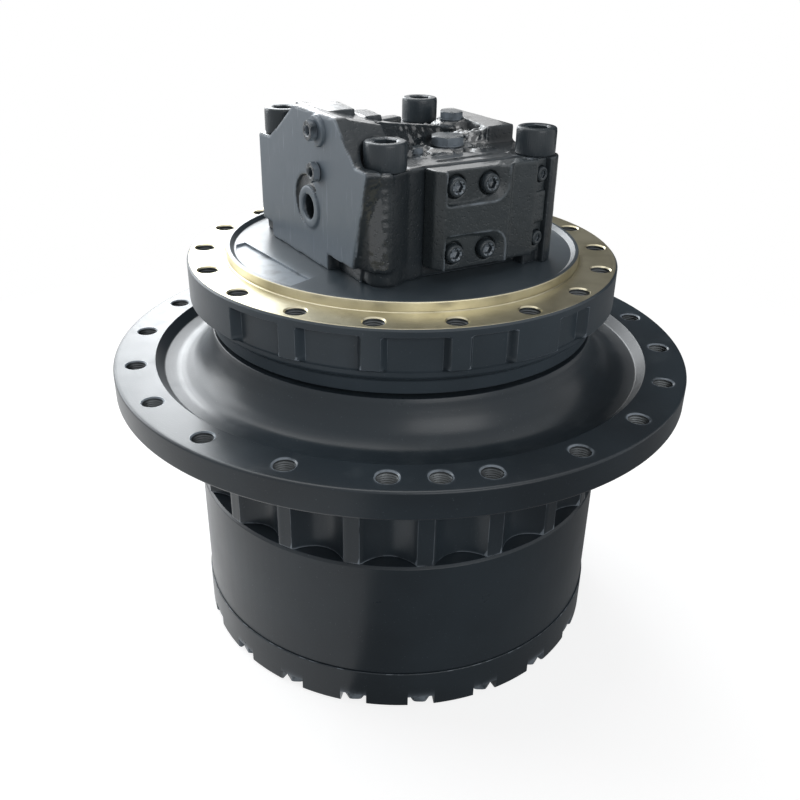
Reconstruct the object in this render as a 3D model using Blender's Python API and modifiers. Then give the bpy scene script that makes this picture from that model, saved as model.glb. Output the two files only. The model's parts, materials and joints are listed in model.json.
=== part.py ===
# Excavator final drive: a hub with a two-stage planetary gear, driven by an axial piston motor.
# It stands on its hub cover with its axis along +Z, and the origin is the centre of the cover's underside.
# Sizes are in millimetres and angles in degrees. Every mesh is made in metres.

import math

import bmesh
import bpy
from mathutils import Matrix, Vector

MM = 0.001

# Clearances
FIT = 0.3
RUNNING = 0.4
BEARING_RUNNING = 1.15
FACE_GAP = 0.3

# Heights of the hub side, from the underside of the cover up
COVER_RIM_HEIGHT = 40.5
COVER_FLOOR = 14.0
RING_HEIGHT = 119.5
HUB_POCKET_HEIGHT = 97.5
SPROCKET_FLANGE_THICKNESS = 25.0
HUB_NECK_HEIGHT = 27.0
SEAL_GAP = 4.0

# Heights of the motor side
SKIRT_HEIGHT = 13.0
FLARE_HEIGHT = 7.2
FRAME_FLANGE_THICKNESS = 42.0
REGISTER_HEIGHT = 8.3
DISC_RECESS = 3.5
SEAT_HEIGHT = 91.0

# Radii of the outside
COVER_RADIUS = 201.0
RING_RADIUS = 199.7
HUB_RADIUS = 199.7
SPROCKET_FLANGE_RADIUS = 270.0
SPROCKET_EDGE = 20.0
DISH_MARGIN = 17.4
DISH_DEPTH = 10.0
NECK_RADIUS = 178.0
SKIRT_RADIUS = 177.6
CASE_WAIST_RADIUS = 187.0
FRAME_FLANGE_RADIUS = 196.0
FRAME_BOLT_RADIUS = 181.6
REGISTER_RADIUS = 161.0
DISC_RADIUS = 154.0

# Hole patterns
SPROCKET_HOLES = 20
SPROCKET_HOLE_RADIUS = 8.75
FIRST_SPROCKET_HOLE = -91.8
FRAME_HOLES = 18
FRAME_HOLE_RADIUS = 8.5
FRAME_HOLE_DEPTH = 34.0
FIRST_FRAME_HOLE = 3.5
RING_BOLT_CIRCLE = 190.0
RING_BOLT_HEAD_RADIUS = 10.5
RING_BOLT_HEAD_HEIGHT = 8.0
NOTCH_WIDTH = 24.0
NOTCH_HEIGHT = 12.0
NOTCH_DEPTH = 22.0
COVER_PLUG_CIRCLE = 100.0
COVER_PLUG_RADIUS = 13.0

# Pockets, as cylinders cut down the hub's side and as angular spans round the front of the frame flange
HUB_POCKET_RADIUS = 25.0
HUB_POCKET_CENTRE = 210.0
FRAME_POCKETS = ((-134.4, -118.6), (-114.4, -98.6), (-94.4, -78.6), (-74.4, -62.5), (-50.5, -38.6))
FRAME_POCKET_DEPTH = 8.0
FRAME_POCKET_TOP = 7.2
CHAMFER = 2.5

# Planetary gears
GEAR_MODULE = 5.7
RING_TEETH = 60
SECOND_SUN_TEETH = 20
SECOND_PLANETS = 4
FIRST_SUN_TEETH = 12
FIRST_PLANETS = 3
ADDENDUM = 0.72
DEDENDUM = 1.05
TOOTH_THINNING = 0.8
GEAR_FACE = 38.0
FIRST_GEAR_FLOOR = 30.0
CARRIER_PLATE = 14.0
CARRIER_CLEARANCE = 4.0
SUN_NECK_RADIUS = 36.0
SECOND_PIN_RADIUS = 24.0
FIRST_PIN_RADIUS = 20.0
SUN_SHAFT_RADIUS = 20.0
PIN_BOSS = 3.0

# Spindle, main bearings and face seal
SPINDLE_NOSE_RADIUS = 80.0
SPINDLE_NOSE_HEIGHT = 36.0
NUT_HEIGHT = 12.0
BEARING_OUTER_RADIUS = 150.0
BEARING_SECTION = 35.0
BEARING_WIDTH = 34.0
BEARING_SPACING = 20.0
BEARING_LAND = 7.0
SPINDLE_SHOULDER = 9.0
SEAL_BORE_RADIUS = 163.0
SEAL_BORE_DEPTH = 20.0
SEAL_RING_OUTER = 157.0
SEAL_RING_INNER = 146.0

# Motor
CASE_BORE_RADIUS = 78.0
SWASH_BORE_RADIUS = 70.0
SHAFT_RADIUS = 25.0
SHAFT_SPIGOT_RADIUS = 15.0
SHAFT_SPIGOT_LENGTH = 34.0
FRONT_BEARING_RADIUS = 45.0
FRONT_BEARING_WIDTH = 24.0
SHAFT_SEAL_RADIUS = 36.0
SHAFT_SEAL_WIDTH = 11.0
SHAFT_HOLE_RADIUS = 30.0
REAR_JOURNAL_RADIUS = 16.0
REAR_BEARING_RADIUS = 32.0
REAR_BEARING_WIDTH = 16.0
BLOCK_RADIUS = 58.0
GUIDE_RADIUS = 29.0
BLOCK_HEIGHT = 72.0
PISTONS = 9
PISTON_RADIUS = 8.2
PISTON_CIRCLE = 40.0
PISTON_DEPTH = 36.0
VALVE_PLATE_THICKNESS = 5.7
SPIGOT_HEIGHT = 6.0
SWASH_ANGLE = 15.0
SWASH_TRAVEL = 7.0
SWASH_RADIUS = 62.0
SWASH_PIVOT_OFFSET = -15.0
SWASH_CENTRE_HEIGHT = 30.0
SPEED_PISTON_RADIUS = 7.0
SPEED_PISTON_OFFSET = 57.0
SPEED_PISTON_LENGTH = 18.0
BRAKE_PLATE_THICKNESS = 3.2
BRAKE_PISTON_HEIGHT = 38.0
BRAKE_RING_INNER = 62.0

# End cover, in its own axes turned about Z
BLOCK_TURN = 30.0
COLUMNS = ((-66.0, -85.0, 20.0), (78.0, -85.5, 20.0), (64.5, 84.0, 20.0), (-78.0, 85.5, 20.5))
CAP_SCREW_RADIUS = 10.0
CAP_SCREW_GRIP = 28.0
CAP_HEAD_RADIUS = 17.0
CAP_HEAD_HEIGHT = 22.0
CAP_SOCKET_RADIUS = 9.8
CAP_SOCKET_DEPTH = 12.0
WING_HEIGHT = 35.5
WING_REACH = 50.0
VALVE_FRONT = -111.0
VALVE_BACK = -90.5
VALVE_LEFT = -33.0
SEAT_RISE = 0.6
VALVE_LIFT = 10.0
PAD_AZIMUTH = -76.0
PAD_INNER = 12.8
PAD_OUTER = 17.5
PAD_REACH = 20.0
PAD_END = -2.9
PAD_SCREW_REACH = 9.0
COVER_SCREW_SPOTS = (-14.7, 17.1)
COVER_SCREW_HEIGHTS = (458.2, 403.9)
SPOOL_RADIUS = 11.0
SPOOL_LENGTH = 96.0
SPOOL_TRAVEL = 6.0
SPOOL_AXIS_V = -50.0
SPOOL_AXIS_HEIGHT = 50.0
CAP_SEAT = 92.0
PORT_RADIUS = 10.5
PORT_DEPTH = 32.0
PORT_V = -8.0
PORT_HEIGHT = 46.7
LARGE_PLUG = (22.0, -35.0)
SMALL_PLUG = (-16.0, -43.5)
RELIEF_VALVE = (60.0, 19.0)
RELIEF_TOP = 484.0
LEFT_BOSS_HEIGHT = 2.0
LEFT_PLUGS = (("upper_left_plug", -24.0, 493.5, 8.5), ("lower_left_plug", -23.0, 460.0, 8.5))

# Facets round the large and the small turned pieces
LARGE = 40
SMALL = 24
PIN = 24
HOLE = 8

# Radii that follow from the sizes above
SPROCKET_BOLT_RADIUS = SPROCKET_FLANGE_RADIUS - SPROCKET_EDGE
BEARING_BORE_RADIUS = BEARING_OUTER_RADIUS - BEARING_SECTION
SPINDLE_SHOULDER_RADIUS = BEARING_BORE_RADIUS + SPINDLE_SHOULDER

# Heights that follow from the sizes above
RING_TOP = COVER_RIM_HEIGHT + RING_HEIGHT
SPROCKET_FACE = RING_TOP + HUB_POCKET_HEIGHT + SPROCKET_FLANGE_THICKNESS
HUB_TOP = SPROCKET_FACE + HUB_NECK_HEIGHT
SKIRT_BOTTOM = HUB_TOP + SEAL_GAP
WAIST = SKIRT_BOTTOM + SKIRT_HEIGHT
FRAME_FACE = WAIST + FLARE_HEIGHT + FRAME_FLANGE_THICKNESS
REGISTER_TOP = FRAME_FACE + REGISTER_HEIGHT
DISC = REGISTER_TOP - DISC_RECESS
BLOCK_BASE = DISC + FACE_GAP
SEAT = DISC + SEAT_HEIGHT

SECOND_PLANET_TEETH = (RING_TEETH - SECOND_SUN_TEETH) // 2
FIRST_PLANET_TEETH = (RING_TEETH - FIRST_SUN_TEETH) // 2
SECOND_CENTRE = (SECOND_SUN_TEETH + SECOND_PLANET_TEETH) * GEAR_MODULE / 2
FIRST_CENTRE = (FIRST_SUN_TEETH + FIRST_PLANET_TEETH) * GEAR_MODULE / 2
FIRST_GEAR_TOP = FIRST_GEAR_FLOOR + GEAR_FACE
FIRST_PLATE = FIRST_GEAR_TOP + CARRIER_CLEARANCE
SECOND_GEAR_FLOOR = FIRST_PLATE + CARRIER_PLATE + CARRIER_CLEARANCE
SECOND_GEAR_TOP = SECOND_GEAR_FLOOR + GEAR_FACE
SECOND_PLATE = SECOND_GEAR_TOP + CARRIER_CLEARANCE
SECOND_PLATE_TOP = SECOND_PLATE + CARRIER_PLATE + 8
SPINDLE_NOSE = SECOND_PLATE
NUT_BOTTOM = SPINDLE_NOSE + SPINDLE_NOSE_HEIGHT
LOWER_BEARING = NUT_BOTTOM + NUT_HEIGHT + FIT
UPPER_BEARING = LOWER_BEARING + BEARING_WIDTH + BEARING_SPACING
BEARING_TOP = UPPER_BEARING + BEARING_WIDTH

SHAFT_BOTTOM = SPINDLE_NOSE + 6
SHAFT_SOCKET_TOP = SHAFT_BOTTOM + SHAFT_SPIGOT_LENGTH
SHAFT_SEAL_FLOOR = SHAFT_BOTTOM + 26
FRONT_BEARING_FLOOR = SHAFT_SEAL_FLOOR + SHAFT_SEAL_WIDTH + 3
SWASH_FLOOR = FRONT_BEARING_FLOOR + FRONT_BEARING_WIDTH
SPIGOT_BOTTOM = BLOCK_BASE - SPIGOT_HEIGHT
VALVE_PLATE_BOTTOM = SPIGOT_BOTTOM - FIT - VALVE_PLATE_THICKNESS
BLOCK_TOP = VALVE_PLATE_BOTTOM - FIT
BLOCK_FLOOR = BLOCK_TOP - BLOCK_HEIGHT
BRAKE_FLOOR = SPIGOT_BOTTOM - 8 - BRAKE_PISTON_HEIGHT - 4 * (BRAKE_PLATE_THICKNESS + FIT) - 2 * FIT
SHOE_REACH = PISTON_CIRCLE + PISTON_RADIUS + 1
SHOE_FLOOR = SWASH_FLOOR + SWASH_CENTRE_HEIGHT + SHOE_REACH * math.tan(math.radians(SWASH_ANGLE)) + 2 * FIT
RETAINER_FLOOR = SHOE_FLOOR + 5


def clear_scene():
    for item in list(bpy.data.objects):
        bpy.data.objects.remove(item, do_unlink=True)


def new_collection(name):
    group = bpy.data.collections.new(name)
    bpy.context.scene.collection.children.link(group)
    return group


clear_scene()
PARTS = new_collection("final_drive")
CUTTERS = new_collection("cutters")


def finish(name, colour, roughness, metallic):
    material = bpy.data.materials.new(name)
    material.use_nodes = True
    shader = material.node_tree.nodes["Principled BSDF"]
    shader.inputs["Base Color"].default_value = (*colour, 1.0)
    shader.inputs["Roughness"].default_value = roughness
    shader.inputs["Metallic"].default_value = metallic
    return material


PAINT = finish("blue_grey_paint", (0.045, 0.06, 0.075), 0.35, 0.1)
STEEL = finish("machined_steel", (0.55, 0.56, 0.57), 0.3, 1.0)
DARK_STEEL = finish("hardened_steel", (0.3, 0.31, 0.33), 0.35, 1.0)
IRON = finish("cast_iron", (0.22, 0.22, 0.23), 0.6, 0.8)
BRONZE = finish("bronze", (0.55, 0.36, 0.14), 0.35, 1.0)
LINING = finish("friction_lining", (0.16, 0.12, 0.08), 0.8, 0.0)
RUBBER = finish("seal_rubber", (0.02, 0.02, 0.02), 0.7, 0.0)


def place(name, mesh, material, origin=(0.0, 0.0, 0.0)):
    """A named object in the parts collection. Its mesh is in metres about the given origin."""
    item = bpy.data.objects.new(name, mesh)
    item.location = Vector(origin) * MM
    mesh.materials.clear()
    mesh.materials.append(material)
    PARTS.objects.link(item)
    return item


def face_out(mesh, fans=False):
    """Welds doubles, turns faces outwards and shades curves smooth. Fans round the axis become flat ends."""
    cage = bmesh.new()
    cage.from_mesh(mesh)
    bmesh.ops.remove_doubles(cage, verts=cage.verts, dist=0.00001)
    if fans:
        centres = [v for v in cage.verts if v.co.xy.length < 0.000001]
        bmesh.ops.dissolve_verts(cage, verts=centres)
    bmesh.ops.recalc_face_normals(cage, faces=cage.faces)
    cage.to_mesh(mesh)
    cage.free()
    mesh.shade_smooth()
    mesh.set_sharp_from_angle(angle=math.radians(35))
    return mesh


def evaluated_mesh(item, fans=False):
    """The mesh of an object with its modifiers, as plain data. The object itself is removed."""
    bpy.context.view_layer.update()
    graph = bpy.context.evaluated_depsgraph_get()
    mesh = bpy.data.meshes.new_from_object(item.evaluated_get(graph))
    mesh.transform(item.matrix_world)
    bpy.data.objects.remove(item, do_unlink=True)
    return face_out(mesh, fans)


def turned(name, profile, material, steps=SMALL, origin=(0.0, 0.0, 0.0)):
    """A turned piece. The profile is a closed loop of (radius, height) that runs down its outer side."""
    mesh = bpy.data.meshes.new(name)
    points = [(radius * MM, 0.0, height * MM) for radius, height in profile]
    loop = [(i, (i + 1) % len(points)) for i in range(len(points))]
    mesh.from_pydata(points, [edge for edge in loop if profile[edge[0]][0] + profile[edge[1]][0] > 0], [])
    guide = bpy.data.objects.new(name + "_profile", mesh)
    PARTS.objects.link(guide)
    screw = guide.modifiers.new("turn", "SCREW")
    screw.steps = steps
    screw.render_steps = steps
    screw.use_merge_vertices = True
    screw.merge_threshold = 0.00001
    return place(name, evaluated_mesh(guide, fans=True), material, origin)


def ring(name, inner, outer, bottom, top, material, steps=SMALL):
    """A plain ring, or a disc where inner is 0."""
    return turned(name, [(outer, top), (outer, bottom), (inner, bottom), (inner, top)], material, steps)


def prism(name, outlines, bottom, top, material, origin=(0.0, 0.0, 0.0)):
    """Flat outlines, the first the outside and the rest holes, extruded from bottom to top."""
    curve = bpy.data.curves.new(name, "CURVE")
    curve.dimensions = "2D"
    curve.fill_mode = "BOTH"
    curve.extrude = (top - bottom) / 2 * MM
    for outline in outlines:
        spline = curve.splines.new("POLY")
        spline.points.add(len(outline) - 1)
        for point, (x, y) in zip(spline.points, outline):
            point.co = (x * MM, y * MM, 0.0, 1.0)
        spline.use_cyclic_u = True
    guide = bpy.data.objects.new(name + "_outline", curve)
    guide.location.z = (top + bottom) / 2 * MM
    PARTS.objects.link(guide)
    return place(name, evaluated_mesh(guide), material, origin)


def circle(radius, sides, centre=(0.0, 0.0)):
    turn = 2 * math.pi / sides
    angles = [turn * i for i in range(sides)]
    return [(centre[0] + radius * math.cos(a), centre[1] + radius * math.sin(a)) for a in angles]


def arc(radius, first, last, steps, centre=(0.0, 0.0)):
    """Points of an arc between two angles, ends included."""
    angles = [math.radians(first + (last - first) * i / steps) for i in range(steps + 1)]
    return [(centre[0] + radius * math.cos(a), centre[1] + radius * math.sin(a)) for a in angles]


def on_circle(radius, angle):
    return (radius * math.cos(math.radians(angle)), radius * math.sin(math.radians(angle)))


def rods(name, spots, radius, bottom, top, material=STEEL, sides=HOLE):
    """Upright cylinders at several spots, as one mesh of closed bodies."""
    cage = bmesh.new()
    for x, y in spots:
        middle = Matrix.Translation(Vector((x, y, (bottom + top) / 2)) * MM)
        bmesh.ops.create_cone(
            cage,
            cap_ends=True,
            segments=sides,
            radius1=radius * MM,
            radius2=radius * MM,
            depth=(top - bottom) * MM,
            matrix=middle,
        )
    mesh = bpy.data.meshes.new(name)
    cage.to_mesh(mesh)
    cage.free()
    return place(name, face_out(mesh), material)


def combine(target, tool, operation):
    modifier = target.modifiers.new(tool.name, "BOOLEAN")
    modifier.operation = operation
    modifier.solver = "EXACT"
    modifier.object = tool
    PARTS.objects.unlink(tool)
    CUTTERS.objects.link(tool)
    tool.hide_render = True
    tool.display_type = "WIRE"


def cut(target, *tools):
    for tool in tools:
        combine(target, tool, "DIFFERENCE")


def join(target, *tools):
    for tool in tools:
        combine(target, tool, "UNION")


# Gears


def gear_outline(teeth, phase, inward=False):
    """Four points a tooth: root, tip, tip, root. With inward set, the teeth point to the axis."""
    pitch_radius = teeth * GEAR_MODULE / 2
    side = -1 if inward else 1
    tip = pitch_radius + side * ADDENDUM * GEAR_MODULE
    root = pitch_radius - side * DEDENDUM * GEAR_MODULE
    half = math.pi * GEAR_MODULE / 4 - TOOTH_THINNING / 2
    slope = math.tan(math.radians(20))
    tip_half = (half - ADDENDUM * GEAR_MODULE * slope) / tip
    root_half = (half + DEDENDUM * GEAR_MODULE * slope * 0.75) / root
    points = []
    for i in range(teeth):
        middle = phase + 2 * math.pi * i / teeth
        for radius, angle in ((root, -root_half), (tip, -tip_half), (tip, tip_half), (root, root_half)):
            points.append((radius * math.cos(middle + angle), radius * math.sin(middle + angle)))
    return points


def planet_phase(place_angle, sun_teeth, planet_teeth):
    """The planet's tooth angle that puts one of its gaps on the sun's tooth at this place."""
    sun_radius = sun_teeth * GEAR_MODULE / 2
    planet_radius = planet_teeth * GEAR_MODULE / 2
    offset = -sun_radius * place_angle + math.pi * GEAR_MODULE / 2
    return place_angle + math.pi - offset / planet_radius


def ring_phase():
    """The ring gear's tooth angle that meshes with the first planet of each stage, both at angle 0."""
    planet_radius = SECOND_PLANET_TEETH * GEAR_MODULE / 2
    reach = planet_radius * planet_phase(0.0, SECOND_SUN_TEETH, SECOND_PLANET_TEETH)
    return (reach - math.pi * GEAR_MODULE / 2) / (RING_TEETH * GEAR_MODULE / 2)


def first_stage_start():
    """The turn of the whole first stage that brings it into mesh with the same ring teeth."""
    planet_radius = FIRST_PLANET_TEETH * GEAR_MODULE / 2
    reach = planet_radius * planet_phase(0.0, FIRST_SUN_TEETH, FIRST_PLANET_TEETH)
    return ring_phase() - (reach - math.pi * GEAR_MODULE / 2) / (RING_TEETH * GEAR_MODULE / 2)


def planets(stage, count, centre, teeth, bottom, bore, start):
    """The planet gears of one stage, each about its own axis. The teeth are the sun's and the planet's."""
    for i in range(count):
        angle = 2 * math.pi * i / count
        phase = planet_phase(angle, *teeth) + start
        spot = (centre * math.cos(angle + start), centre * math.sin(angle + start), 0.0)
        outlines = [gear_outline(teeth[1], phase), circle(bore, PIN)]
        prism(f"{stage}_planet_gear_{i + 1}", outlines, bottom, bottom + GEAR_FACE, STEEL, spot)


def pins(stage, count, centre, radius, bottom, top, start):
    """The planet pins of one stage. Each stands in its carrier and reaches through its planet."""
    for i in range(count):
        spot = on_circle(centre, math.degrees(start) + 360 * i / count)
        rods(f"{stage}_planet_pin_{i + 1}", [spot], radius, bottom, top, DARK_STEEL, PIN)


def carrier_outline(count, reach, boss, waist, start):
    """A lobed plate: a round boss at each pin, drawn in to a waist between them."""
    points = []
    for i in range(count):
        middle = math.degrees(start) + 360 * i / count
        points += arc(boss, middle - 80, middle + 80, 6, on_circle(reach, middle))
        points.append(on_circle(waist, middle + 180 / count))
    return points


# Hub side


def bolt_angle(index):
    """The long bolts lie half a pitch round from the sprocket's holes, in line with the hub's ribs."""
    return FIRST_SPROCKET_HOLE + (index + 0.5) * 360 / SPROCKET_HOLES


def notch_outline(angle):
    """One notch of the cover's rim, in plan. It opens outwards."""
    half = NOTCH_WIDTH / 2
    inner, outer = COVER_RADIUS - NOTCH_DEPTH, COVER_RADIUS + 5
    along = Vector(on_circle(1, angle))
    across = Vector((-along.y, along.x)) * half
    corners = ((inner, -1), (outer, -1), (outer, 1), (inner, 1))
    return [tuple(along * r + across * side) for r, side in corners]


def make_cover():
    inner = RING_RADIUS - 21.7
    cover = turned(
        "hub_cover",
        [
            (COVER_RADIUS, COVER_RIM_HEIGHT - FACE_GAP),
            (COVER_RADIUS, CHAMFER),
            (COVER_RADIUS - CHAMFER, 0),
            (inner - 22, 0),
            (inner - 28, 4),
            (0, 4),
            (0, COVER_FLOOR),
            (inner - 10, COVER_FLOOR),
            (inner, COVER_FLOOR + 8),
            (inner, COVER_RIM_HEIGHT - FACE_GAP),
        ],
        PAINT,
        LARGE,
    )
    angles = [bolt_angle(i) for i in range(SPROCKET_HOLES)]
    cut(cover, prism("cover_notches", [notch_outline(angle) for angle in angles], -1, NOTCH_HEIGHT, PAINT))
    heads = [on_circle(RING_BOLT_CIRCLE, angle) for angle in angles]
    floor = NOTCH_HEIGHT - RING_BOLT_HEAD_HEIGHT
    join(cover, rods("cover_bolt_heads", heads, RING_BOLT_HEAD_RADIUS, floor, NOTCH_HEIGHT + 2, sides=6))
    plugs = {"cover_drain_plug": (0, -COVER_PLUG_CIRCLE), "cover_level_plug": (0, COVER_PLUG_CIRCLE)}
    for name, spot in plugs.items():
        cut(cover, rods(name + "_hole", [spot], COVER_PLUG_RADIUS + FIT, 3, COVER_FLOOR + 1, sides=12))
        plug = rods(name, [spot], COVER_PLUG_RADIUS, 4, COVER_FLOOR, DARK_STEEL, 12)
        cut(plug, rods(name + "_socket", [spot], 6, 3, 9, sides=6))
    ring("thrust_pad", 0, 24, COVER_FLOOR + FIT, COVER_FLOOR + 6, BRONZE, SMALL)


def make_ring_gear():
    outlines = [circle(RING_RADIUS, LARGE), gear_outline(RING_TEETH, ring_phase(), inward=True)]
    prism("ring_gear", outlines, COVER_RIM_HEIGHT, RING_TOP - FACE_GAP, PAINT)


def make_hub():
    """Outside turned, then bored for the bearings and the face seal, then the pockets and holes cut."""
    flange_bottom = SPROCKET_FACE - SPROCKET_FLANGE_THICKNESS
    land = BEARING_OUTER_RADIUS - BEARING_LAND
    seat = BEARING_OUTER_RADIUS + FIT
    mouth = RING_RADIUS - 40
    dish = SPROCKET_BOLT_RADIUS - DISH_MARGIN - NECK_RADIUS
    hub = turned(
        "hub",
        [
            (NECK_RADIUS, HUB_TOP),
            (NECK_RADIUS + 0.073 * dish, SPROCKET_FACE + 12),
            (NECK_RADIUS + 0.183 * dish, SPROCKET_FACE + 2),
            (NECK_RADIUS + 0.366 * dish, SPROCKET_FACE - 7),
            (NECK_RADIUS + 0.64 * dish, SPROCKET_FACE - DISH_DEPTH),
            (NECK_RADIUS + 0.833 * dish, SPROCKET_FACE - DISH_DEPTH + 1),
            (NECK_RADIUS + dish, SPROCKET_FACE),
            (SPROCKET_FLANGE_RADIUS - CHAMFER, SPROCKET_FACE),
            (SPROCKET_FLANGE_RADIUS, SPROCKET_FACE - CHAMFER),
            (SPROCKET_FLANGE_RADIUS, flange_bottom + CHAMFER),
            (SPROCKET_FLANGE_RADIUS - CHAMFER, flange_bottom),
            (HUB_RADIUS, flange_bottom),
            (HUB_RADIUS, RING_TOP),
            (0, RING_TOP),
            (0, HUB_TOP),
        ],
        PAINT,
        LARGE,
    )
    bore = turned(
        "hub_bore",
        [
            (SEAL_BORE_RADIUS, HUB_TOP + 5),
            (SEAL_BORE_RADIUS, HUB_TOP - SEAL_BORE_DEPTH),
            (seat, HUB_TOP - SEAL_BORE_DEPTH),
            (seat, UPPER_BEARING - FIT),
            (land, UPPER_BEARING - FIT),
            (land, LOWER_BEARING + BEARING_WIDTH + FIT),
            (seat, LOWER_BEARING + BEARING_WIDTH + FIT),
            (seat, LOWER_BEARING - 6),
            (mouth, LOWER_BEARING - 12),
            (mouth, RING_TOP - 5),
            (0, RING_TOP - 5),
            (0, HUB_TOP + 5),
        ],
        PAINT,
        SMALL,
    )
    cut(hub, bore)
    pitch = 360 / SPROCKET_HOLES
    angles = [FIRST_SPROCKET_HOLE + pitch * i for i in range(SPROCKET_HOLES)]
    pockets = [on_circle(HUB_POCKET_CENTRE, angle) for angle in angles]
    cut(hub, rods("hub_pockets", pockets, HUB_POCKET_RADIUS, RING_TOP - 5, flange_bottom, sides=16))
    holes = [on_circle(SPROCKET_BOLT_RADIUS, angle) for angle in angles + [angles[0] + pitch / 2]]
    cut(hub, rods("sprocket_holes", holes, SPROCKET_HOLE_RADIUS, flange_bottom - 1, SPROCKET_FACE + 1))


def bearing(name, inner, outer, bottom, top, steps):
    """A bearing unit as one turned body: an inner ring, an outer ring and the rollers between them."""
    middle = (inner + outer) / 2
    half = (outer - inner) / 6
    profile = [(outer, top), (outer, bottom), (middle + half, bottom), (middle, bottom + half)]
    profile += [(middle - half, bottom), (inner, bottom), (inner, top)]
    turned(name, profile, STEEL, steps)


def make_main_bearings():
    for name, bottom in (("lower_main_bearing", LOWER_BEARING), ("upper_main_bearing", UPPER_BEARING)):
        inner = BEARING_BORE_RADIUS + BEARING_RUNNING
        bearing(name, inner, BEARING_OUTER_RADIUS, bottom, bottom + BEARING_WIDTH, SMALL)
    thread = BEARING_BORE_RADIUS - 6
    outer = BEARING_BORE_RADIUS + 14
    top = NUT_BOTTOM + NUT_HEIGHT
    nut = ring("bearing_nut", thread + FIT, outer, NUT_BOTTOM + FIT, top, DARK_STEEL)
    slots = [on_circle(outer, 90 * i) for i in range(4)]
    cut(nut, rods("nut_slots", slots, 6, NUT_BOTTOM - 1, top + 1))


def seal_ring(name, face, away):
    """A face seal ring: a wide lapped face at the gap and a tapered tail that the rubber ring presses on."""
    depth = SEAL_BORE_DEPTH - 2
    profile = [
        (SEAL_RING_OUTER, face),
        (SEAL_RING_OUTER, face + away * 5),
        (SEAL_RING_OUTER - 4, face + away * 6),
        (SEAL_RING_OUTER - 2, face + away * depth),
        (SEAL_RING_INNER, face + away * depth),
        (SEAL_RING_INNER, face),
    ]
    if away > 0:
        profile.reverse()
    turned(name, profile, DARK_STEEL, SMALL)
    middle = (SEAL_RING_OUTER - 3 + SEAL_BORE_RADIUS) / 2
    half = (SEAL_BORE_RADIUS - SEAL_RING_OUTER + 3) / 2 - FIT
    height = face + away * (6 + half + 2)
    section = [(half, 0), (0, -half), (-half, 0), (0, half)]
    rubber = [(middle + across, height + up) for across, up in section]
    turned(name.replace("seal_ring", "rubber_ring"), rubber, RUBBER, SMALL)


def make_face_seal():
    middle = HUB_TOP + SEAL_GAP / 2
    seal_ring("hub_seal_ring", middle - FACE_GAP / 2, -1)
    seal_ring("case_seal_ring", middle + FACE_GAP / 2, 1)


# Planetary stages


def make_second_stage():
    bore = SECOND_PIN_RADIUS + RUNNING
    teeth = (SECOND_SUN_TEETH, SECOND_PLANET_TEETH)
    planets("second", SECOND_PLANETS, SECOND_CENTRE, teeth, SECOND_GEAR_FLOOR, bore, 0.0)
    floor = SECOND_GEAR_FLOOR - PIN_BOSS
    pins("second", SECOND_PLANETS, SECOND_CENTRE, SECOND_PIN_RADIUS, floor, SECOND_PLATE_TOP, 0.0)
    inner, outer = SPINDLE_NOSE_RADIUS + FIT, SECOND_CENTRE + SECOND_PIN_RADIUS + 16
    carrier = ring("second_carrier", inner, outer, SECOND_PLATE, SECOND_PLATE_TOP, IRON)
    spots = [on_circle(SECOND_CENTRE, 360 * i / SECOND_PLANETS) for i in range(SECOND_PLANETS)]
    hole = SECOND_PIN_RADIUS + FIT
    bottom, top = SECOND_PLATE - 1, SECOND_PLATE_TOP + 1
    cut(carrier, rods("second_pin_holes", spots, hole, bottom, top, sides=PIN))
    sun_bore = SUN_SHAFT_RADIUS + 4
    outlines = [gear_outline(SECOND_SUN_TEETH, 0.0), circle(sun_bore, PIN)]
    sun = prism("second_sun_gear", outlines, SECOND_GEAR_FLOOR, SECOND_GEAR_TOP, STEEL)
    neck = ring("second_sun_neck", sun_bore, SUN_NECK_RADIUS, FIRST_PLATE, SECOND_GEAR_FLOOR + 1, STEEL, PIN)
    join(sun, neck)


def make_first_stage():
    start = first_stage_start()
    turn = math.degrees(start)
    bore = FIRST_PIN_RADIUS + RUNNING
    teeth = (FIRST_SUN_TEETH, FIRST_PLANET_TEETH)
    planets("first", FIRST_PLANETS, FIRST_CENTRE, teeth, FIRST_GEAR_FLOOR, bore, start)
    floor, top = FIRST_GEAR_FLOOR - PIN_BOSS, FIRST_PLATE + CARRIER_PLATE
    pins("first", FIRST_PLANETS, FIRST_CENTRE, FIRST_PIN_RADIUS, floor, top, start)
    outlines = [carrier_outline(FIRST_PLANETS, FIRST_CENTRE, FIRST_PIN_RADIUS + 12, 62, start)]
    outlines.append(circle(SUN_NECK_RADIUS + FIT, PIN))
    for i in range(FIRST_PLANETS):
        spot = on_circle(FIRST_CENTRE, turn + 360 * i / FIRST_PLANETS)
        outlines.append(circle(FIRST_PIN_RADIUS + FIT, PIN, spot))
    prism("first_carrier", outlines, FIRST_PLATE, top, IRON)
    outline = gear_outline(FIRST_SUN_TEETH, start)
    shaft = prism("first_sun_shaft", [outline], FIRST_GEAR_FLOOR, FIRST_GEAR_TOP, STEEL)
    bottom = COVER_FLOOR + 6 + FIT
    body = turned(
        "first_sun_body",
        [
            (SHAFT_SPIGOT_RADIUS, SHAFT_SOCKET_TOP - 1),
            (SHAFT_SPIGOT_RADIUS, SHAFT_BOTTOM - FIT),
            (SUN_SHAFT_RADIUS, SHAFT_BOTTOM - FIT),
            (SUN_SHAFT_RADIUS, bottom),
            (0, bottom),
            (0, SHAFT_SOCKET_TOP - 1),
        ],
        STEEL,
        PIN,
    )
    join(shaft, body)


# Motor case and what turns in it


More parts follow.
